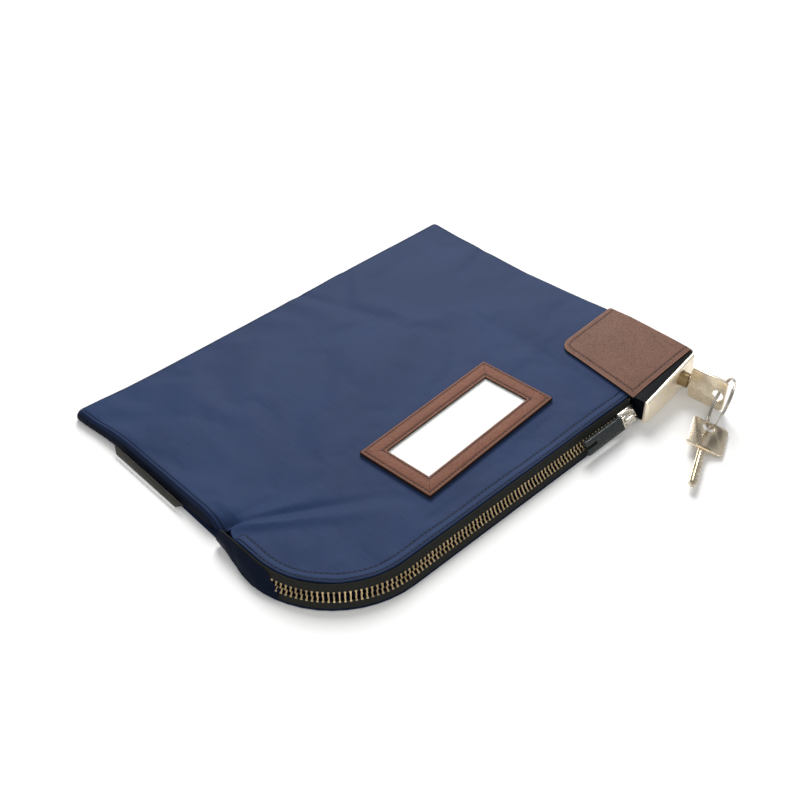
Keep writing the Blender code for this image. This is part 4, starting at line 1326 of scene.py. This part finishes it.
class BAG_OT_slider(bpy.types.Operator):
    """Make the slider and its pull"""
    bl_idname = "deposit_bag.slider"
    bl_label = "Slider"

    def execute(self, context):
        for node in ("slider_front_plate", "slider_back_plate", "slider_lug", "pull_tab"):
            keep(node, "nickel", width=0.3 * MM)
        keep("slider_bridge", "nickel")
        keep("pull_sleeve", "sleeve", width=0.5 * MM, segments=3)
        plate = box((-6.6 * MM, -3.8 * MM, -4.6 * MM), (6.6 * MM, -2.8 * MM, 4.6 * MM))
        bmesh.ops.bevel(plate, geom=[e for e in plate.edges if abs(e.verts[0].co.y - e.verts[1].co.y) > 1e-5],
                        offset=2.2 * MM, segments=4, affect="EDGES")
        place = slider_place()
        holes = [cylinder(1.25 * MM, -6 * MM, 0, Matrix.Translation((x * MM, 0, z * MM)), 20)
                 for x, z in ((-3.9, 2.4), (-3.9, -2.4), (3.9, 2.4), (3.9, -2.4))]
        holes.append(mesh_of(box((-1.5 * MM, -6 * MM, -3.2 * MM), (1.5 * MM, 0, 3.2 * MM)), "slot"))
        mesh = cut(mesh_of(plate, "plate"), *holes)
        mesh = baked(mesh, ("BEVEL", {"width": 0.28 * MM, "segments": 2, "limit_method": "ANGLE",
                                      "angle_limit": math.radians(40)}))
        mesh.transform(place)
        piece("slider_fretwork", mesh, "nickel", "slider")
        return {"FINISHED"}


class BAG_OT_lock(bpy.types.Operator):
    """Make the lock's case, face, barrel and inner parts"""
    bl_idname = "deposit_bag.lock"
    bl_label = "Lock"

    def face(self):
        """The face plate with its wide bevels and the hole for the barrel."""
        outer = ((LOCK_LEFT, 0.5 * MM), (LOCK_RIGHT, 0.5 * MM), (LOCK_RIGHT, FACE_TOP[1] - 0.1 * MM),
                 (LOCK_LEFT, FACE_TOP[0] - 0.1 * MM))
        inner = ((LOCK_LEFT + 1.3 * MM, 0.9 * MM), (LOCK_RIGHT - 0.9 * MM, 0.9 * MM),
                 (LOCK_RIGHT - 0.9 * MM, FACE_TOP[1] - 1.1 * MM),
                 (LOCK_LEFT + 1.3 * MM, FACE_TOP[0] - 1.1 * MM))
        bm = bmesh.new()
        back = [bm.verts.new((x, LOCK_FACE + 0.3 * MM, z)) for x, z in outer]
        rim = [bm.verts.new((x, LOCK_FACE - 0.1 * MM, z)) for x, z in outer]
        front = [bm.verts.new((x, LOCK_FACE - 0.9 * MM if k > 1 else LOCK_FACE - 1.7 * MM, z))
                 for k, (x, z) in enumerate(inner)]
        bm.faces.new(back)
        bm.faces.new(front)
        for a, b in ((back, rim), (rim, front)):
            for k in range(4):
                bm.faces.new((a[k], a[(k + 1) % 4], b[(k + 1) % 4], b[k]))
        mesh = mesh_of(tidy(bm), "lock_face")
        hole = cylinder(BARREL_RADIUS + 0.25 * MM, -12 * MM, 6 * MM,
                        Matrix.Translation((0, 0, LOCK_AXIS_Z)))
        mesh = cut(mesh, hole)
        mesh = baked(mesh, ("BEVEL", {"width": 0.22 * MM, "segments": 2, "limit_method": "ANGLE",
                                      "angle_limit": math.radians(20)}))
        mesh.transform(LOCK_PLACE)
        piece("lock_face", mesh, "lock", "bag", (), 50.0)

    def barrel_ribs(self):
        """The ribs round the end of the barrel."""
        count = 28
        radius, wire = BARREL_RADIUS - 0.16 * MM, 0.26 * MM
        turns = [2 * math.pi * i / count for i in range(count)]
        points = [Vector((radius * math.cos(turn), 0, radius * math.sin(turn))) for turn in turns]
        ring = mesh_of(swept(points, wire, (0, 1, 0), True), "rib")
        start, end = AXIS_PLACE @ Vector((0, -7.2 * MM, 0)), AXIS_PLACE @ Vector((0, -3.4 * MM, 0))
        ring.transform(Matrix.Rotation(math.radians(90), 4, "Z"))
        path = [start.lerp(end, i / 8) for i in range(9)]
        across = AXIS_PLACE.to_3x3() @ Vector((0, 0, 1))
        mesh = row(path, [across] * 9, ring, 5, (1, 1, 1), "brass")
        piece("barrel_ribs", mesh, "brass", "plunger", (), 60.0)

    def gusset(self):
        """Cloth from the corner patch down behind the face and over the case's left end, painted near-black
        as the shade that falls there.
        """
        foot_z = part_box("lock_housing")[0].z + 1.2 * MM
        columns, rows = 28, 7
        bm = bmesh.new()
        grid = []
        for i in range(columns):
            x = lerp(LOCK_LEFT - 0.35 * MM, LOCK_RIGHT - 0.2 * MM, i / (columns - 1))
            front = LOCK_PLACE @ Vector((x, -0.15 * MM, 0))
            rise = (x - LOCK_LEFT) / (LOCK_RIGHT - LOCK_LEFT)
            front.z = lerp(FACE_TOP[0], FACE_TOP[1], clamp01(rise)) + 0.25 * MM
            back = Vector((front.x, FRONT_Y + 0.5 * MM, 0))
            back.z = cloth_height(back.x, back.y) + 0.1 * MM
            line = []
            for k in range(rows):
                point = front.lerp(back, k / (rows - 1))
                point.z += 0.25 * MM * math.sin(math.pi * k / (rows - 1))
                line.append(bm.verts.new(point))
            if i == 0:
                foot = [bm.verts.new((v.co.x - 0.1 * MM, v.co.y, lerp(v.co.z, foot_z, t)))
                        for t in (1.0, 0.75, 0.5, 0.25) for v in line]
                grid += [foot[n:n + rows] for n in range(0, len(foot), rows)]
            grid.append(line)
        for a, b in zip(grid, grid[1:]):
            for k in range(rows - 1):
                bm.faces.new((a[k], b[k], b[k + 1], a[k + 1]))
        bmesh.ops.recalc_face_normals(bm, faces=bm.faces)
        mesh = baked(mesh_of(bm, "lock_gusset"), ("SOLIDIFY", {"thickness": 0.35 * MM, "offset": 0.0}))
        piece("lock_gusset", mesh, "gusset_cloth_painted_shade", "bag", (), 60.0)

    def execute(self, context):
        self.gusset()
        keep("lock_housing", "lock", width=0.45 * MM, segments=3)
        self.face()
        self.barrel_ribs()
        for node, width in (("plunger_barrel", 0.25), ("cylinder_plug", 0.2)):
            keep(node, "brass", width=width * MM)
        for node in ("lock_back_plate", "latch_arm", "plug_retainer"):
            keep(node, "steel", width=0.15 * MM)
        spring = keep("plunger_spring", "steel", "bag")
        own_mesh(spring)
        for number in range(1, 5):
            frame["nodes"]["wafer_%d" % number].data.materials[0] = look("brass")
        return {"FINISHED"}


def key_1_place():
    """The key in the lock: X from the shoulder to the tip."""
    shoulder_y = BARREL_FRONT - 1.0 * MM
    return AXIS_PLACE @ Matrix(((0, 0, 1, 0), (1, 0, 0, shoulder_y), (0, 1, 0, 0), (0, 0, 0, 1)))


def key_2_place():
    """The spare key on the table: X from the shoulder to the tip."""
    heading = Vector((math.cos(KEY_2_HEADING), math.sin(KEY_2_HEADING), 0))
    shoulder = KEY_2_HOLE + heading * (BOW_LENGTH - KEY_HOLE_INSET)
    return (Matrix.Translation(shoulder) @ Matrix.Rotation(KEY_2_HEADING, 4, "Z")
            @ Matrix.Rotation(KEY_2_ROLL, 4, "X"))


class BAG_OT_keys(bpy.types.Operator):
    """Make the two keys and the split ring"""
    bl_idname = "deposit_bag.keys"
    bl_label = "Keys"

    def execute(self, context):
        for node, place in (("key_1", key_1_place()), ("key_2", key_2_place())):
            grooves = []
            for side in (-1, 1):
                low, high = sorted((side * 0.55 * MM, side * 1.6 * MM))
                groove = box((1.6 * MM, -1.5 * MM, low), (BLADE_LENGTH - 4 * MM, -0.5 * MM, high))
                bmesh.ops.transform(groove, matrix=place, verts=groove.verts)
                grooves.append(mesh_of(tidy(groove), "groove"))
            mesh = cut(softened(node, 0.22 * MM, 2), *grooves)
            piece(node + "_finished", mesh, "key", node, (node,))
            collar = box((-2.0 * MM, -4.4 * MM, -1.35 * MM), (0.7 * MM, 4.4 * MM, 1.35 * MM))
            bmesh.ops.bevel(collar, geom=collar.edges[:], offset=0.4 * MM, segments=2, affect="EDGES")
            bmesh.ops.transform(collar, matrix=place, verts=collar.verts)
            piece(node + "_collar", mesh_of(tidy(collar), "collar"), "key", node)
        self.ring()
        return {"FINISHED"}

    def ring(self):
        """A split ring: flat wire wound nearly twice round."""
        hole_1 = key_1_place() @ Vector((KEY_HOLE_INSET - BOW_LENGTH, 0, 0))
        chord = KEY_2_HOLE - hole_1
        along = chord.normalized()
        side = Vector((0, 1, 0))
        normal = Matrix.Rotation(RING_LEAN, 3, along) @ (side - along * side.dot(along)).normalized()
        across = along.cross(normal)
        centre = (hole_1 + KEY_2_HOLE) / 2 + across * math.sqrt(RING_RADIUS ** 2 - (chord.length / 2) ** 2)
        points, sizes = [], []
        turns, per_turn, first_angle, wire = 1.92, 72, 0.6, 0.5 * MM
        total = int(turns * per_turn)
        for i in range(total + 1):
            angle = 2 * math.pi * i / per_turn + first_angle
            shift = lerp(-0.52, 0.52, smooth((i / total - 0.44) / 0.12)) * MM
            points.append(centre + along.cross(across) * shift
                          + RING_RADIUS * (along * math.cos(angle) + across * math.sin(angle)))
            sizes.append(wire * (0.55 + 0.45 * smooth(min(i, total - i) / 2)))
        mesh = mesh_of(swept(points, sizes, along.cross(across)), "split_ring")
        piece("split_ring", mesh, "ring", "ring", ("key_ring",), 60.0)


class BAG_OT_stage(bpy.types.Operator):
    """Set the floor, the lights and the camera"""
    bl_idname = "deposit_bag.stage"
    bl_label = "Stage"

    def execute(self, context):
        stage = settings("stage")
        scene = context.scene
        bm = bmesh.new()
        bmesh.ops.create_grid(bm, x_segments=1, y_segments=1, size=FLOOR_HALF)
        floor = bpy.data.objects.new("floor", mesh_of(bm, "floor"))
        floor.location.z = -FLOOR_DROP
        scene.collection.objects.link(floor)
        nodes = Nodes("floor_white")
        floor.data.materials.append(nodes.surface(tuple(stage.floor), 0.7))

        world = bpy.data.worlds.new("studio")
        world.use_nodes = True
        tree = world.node_tree
        back = tree.nodes["Background"]
        back.inputs["Strength"].default_value = stage.sky
        towards = tree.nodes.new("ShaderNodeVectorMath")
        towards.operation = "DOT_PRODUCT"
        towards.inputs[1].default_value = Vector(DARK_SCREEN).normalized()
        tree.links.new(tree.nodes.new("ShaderNodeTexCoord").outputs["Generated"], towards.inputs[0])
        ramp = tree.nodes.new("ShaderNodeMapRange")
        ramp.inputs["From Min"].default_value, ramp.inputs["From Max"].default_value = (
            math.cos(angle) for angle in DARK_SCREEN_EDGE)
        ramp.inputs["To Min"].default_value, ramp.inputs["To Max"].default_value = 1.0, DARK_SCREEN_LEVEL
        tree.links.new(towards.outputs["Value"], ramp.inputs["Value"])
        tree.links.new(ramp.outputs["Result"], back.inputs["Color"])
        scene.world = world

        for name, place, size, share in LAMPS:
            lamp = bpy.data.lights.new(name, "AREA")
            lamp.size = size
            lamp.energy = stage.key * share
            made = bpy.data.objects.new(name, lamp)
            made.location = place
            made.rotation_euler = (-Vector(place)).to_track_quat("-Z", "Y").to_euler()
            scene.collection.objects.link(made)

        azimuth, elevation = stage.azimuth, stage.elevation
        away = Vector((math.sin(azimuth) * math.cos(elevation), -math.cos(azimuth) * math.cos(elevation),
                       math.sin(elevation)))
        camera = bpy.data.objects.new("camera", bpy.data.cameras.new("camera"))
        camera.data.lens = stage.lens
        camera.location = CAMERA_AIM + away * stage.distance
        camera.rotation_euler = (-away).to_track_quat("-Z", "Y").to_euler()
        scene.collection.objects.link(camera)
        scene.camera = camera
        scene.view_settings.view_transform = "Standard"
        return {"FINISHED"}


class BAG_PT_panel(bpy.types.Panel):
    """Lists the pieces in the order they are made"""
    bl_label = "Deposit Bag"
    bl_idname = "BAG_PT_panel"
    bl_space_type = "VIEW_3D"
    bl_region_type = "UI"
    bl_category = "Deposit Bag"

    def draw(self, context):
        for maker in PIECE_MAKERS:
            self.layout.operator(maker.bl_idname)
        for group in SETTING_GROUPS:
            box_layout = self.layout.box()
            for name in SETTING_GROUPS[group].__annotations__:
                box_layout.prop(getattr(context.scene.deposit_bag, group), name)


SETTING_GROUPS = {"cloth": ClothSettings, "zip": ZipSettings, "leatherette": LeatheretteSettings,
                  "metal": MetalSettings, "stage": StageSettings}


class DepositBagSettings(bpy.types.PropertyGroup):
    """All the settings of the bag."""
    cloth: PointerProperty(name="Cloth", description="The navy cloth", type=ClothSettings)
    zip: PointerProperty(name="Zip", description="The zip", type=ZipSettings)
    leatherette: PointerProperty(name="Leatherette", description="Corner and card frame",
                                 type=LeatheretteSettings)
    metal: PointerProperty(name="Metal", description="Lock, slider and keys", type=MetalSettings)
    stage: PointerProperty(name="Stage", description="Floor, lights and camera", type=StageSettings)


PIECE_MAKERS = (BAG_OT_cloth, BAG_OT_zip, BAG_OT_corner, BAG_OT_card_frame, BAG_OT_hem_stitches, BAG_OT_tag,
                BAG_OT_slider, BAG_OT_lock, BAG_OT_keys, BAG_OT_stage)
CLASSES = (*SETTING_GROUPS.values(), DepositBagSettings, *PIECE_MAKERS, BAG_PT_panel)


def register():
    """Adds the settings, the makers and the panel."""
    for item in CLASSES:
        bpy.utils.register_class(item)
    bpy.types.Scene.deposit_bag = PointerProperty(name="Deposit bag", description="The bag's settings",
                                                  type=DepositBagSettings)


def unregister():
    """Takes them away again."""
    del bpy.types.Scene.deposit_bag
    for item in reversed(CLASSES):
        bpy.utils.unregister_class(item)


def main():
    """Makes the bag and its stage."""
    register()
    bpy.ops.deposit_bag.cloth()
    bpy.ops.deposit_bag.zip()
    bpy.ops.deposit_bag.corner()
    bpy.ops.deposit_bag.card_frame()
    bpy.ops.deposit_bag.hem_stitches()
    bpy.ops.deposit_bag.tag()
    bpy.ops.deposit_bag.slider()
    bpy.ops.deposit_bag.lock()
    bpy.ops.deposit_bag.keys()
    bpy.ops.deposit_bag.stage()


if __name__ == "__main__":
    main()
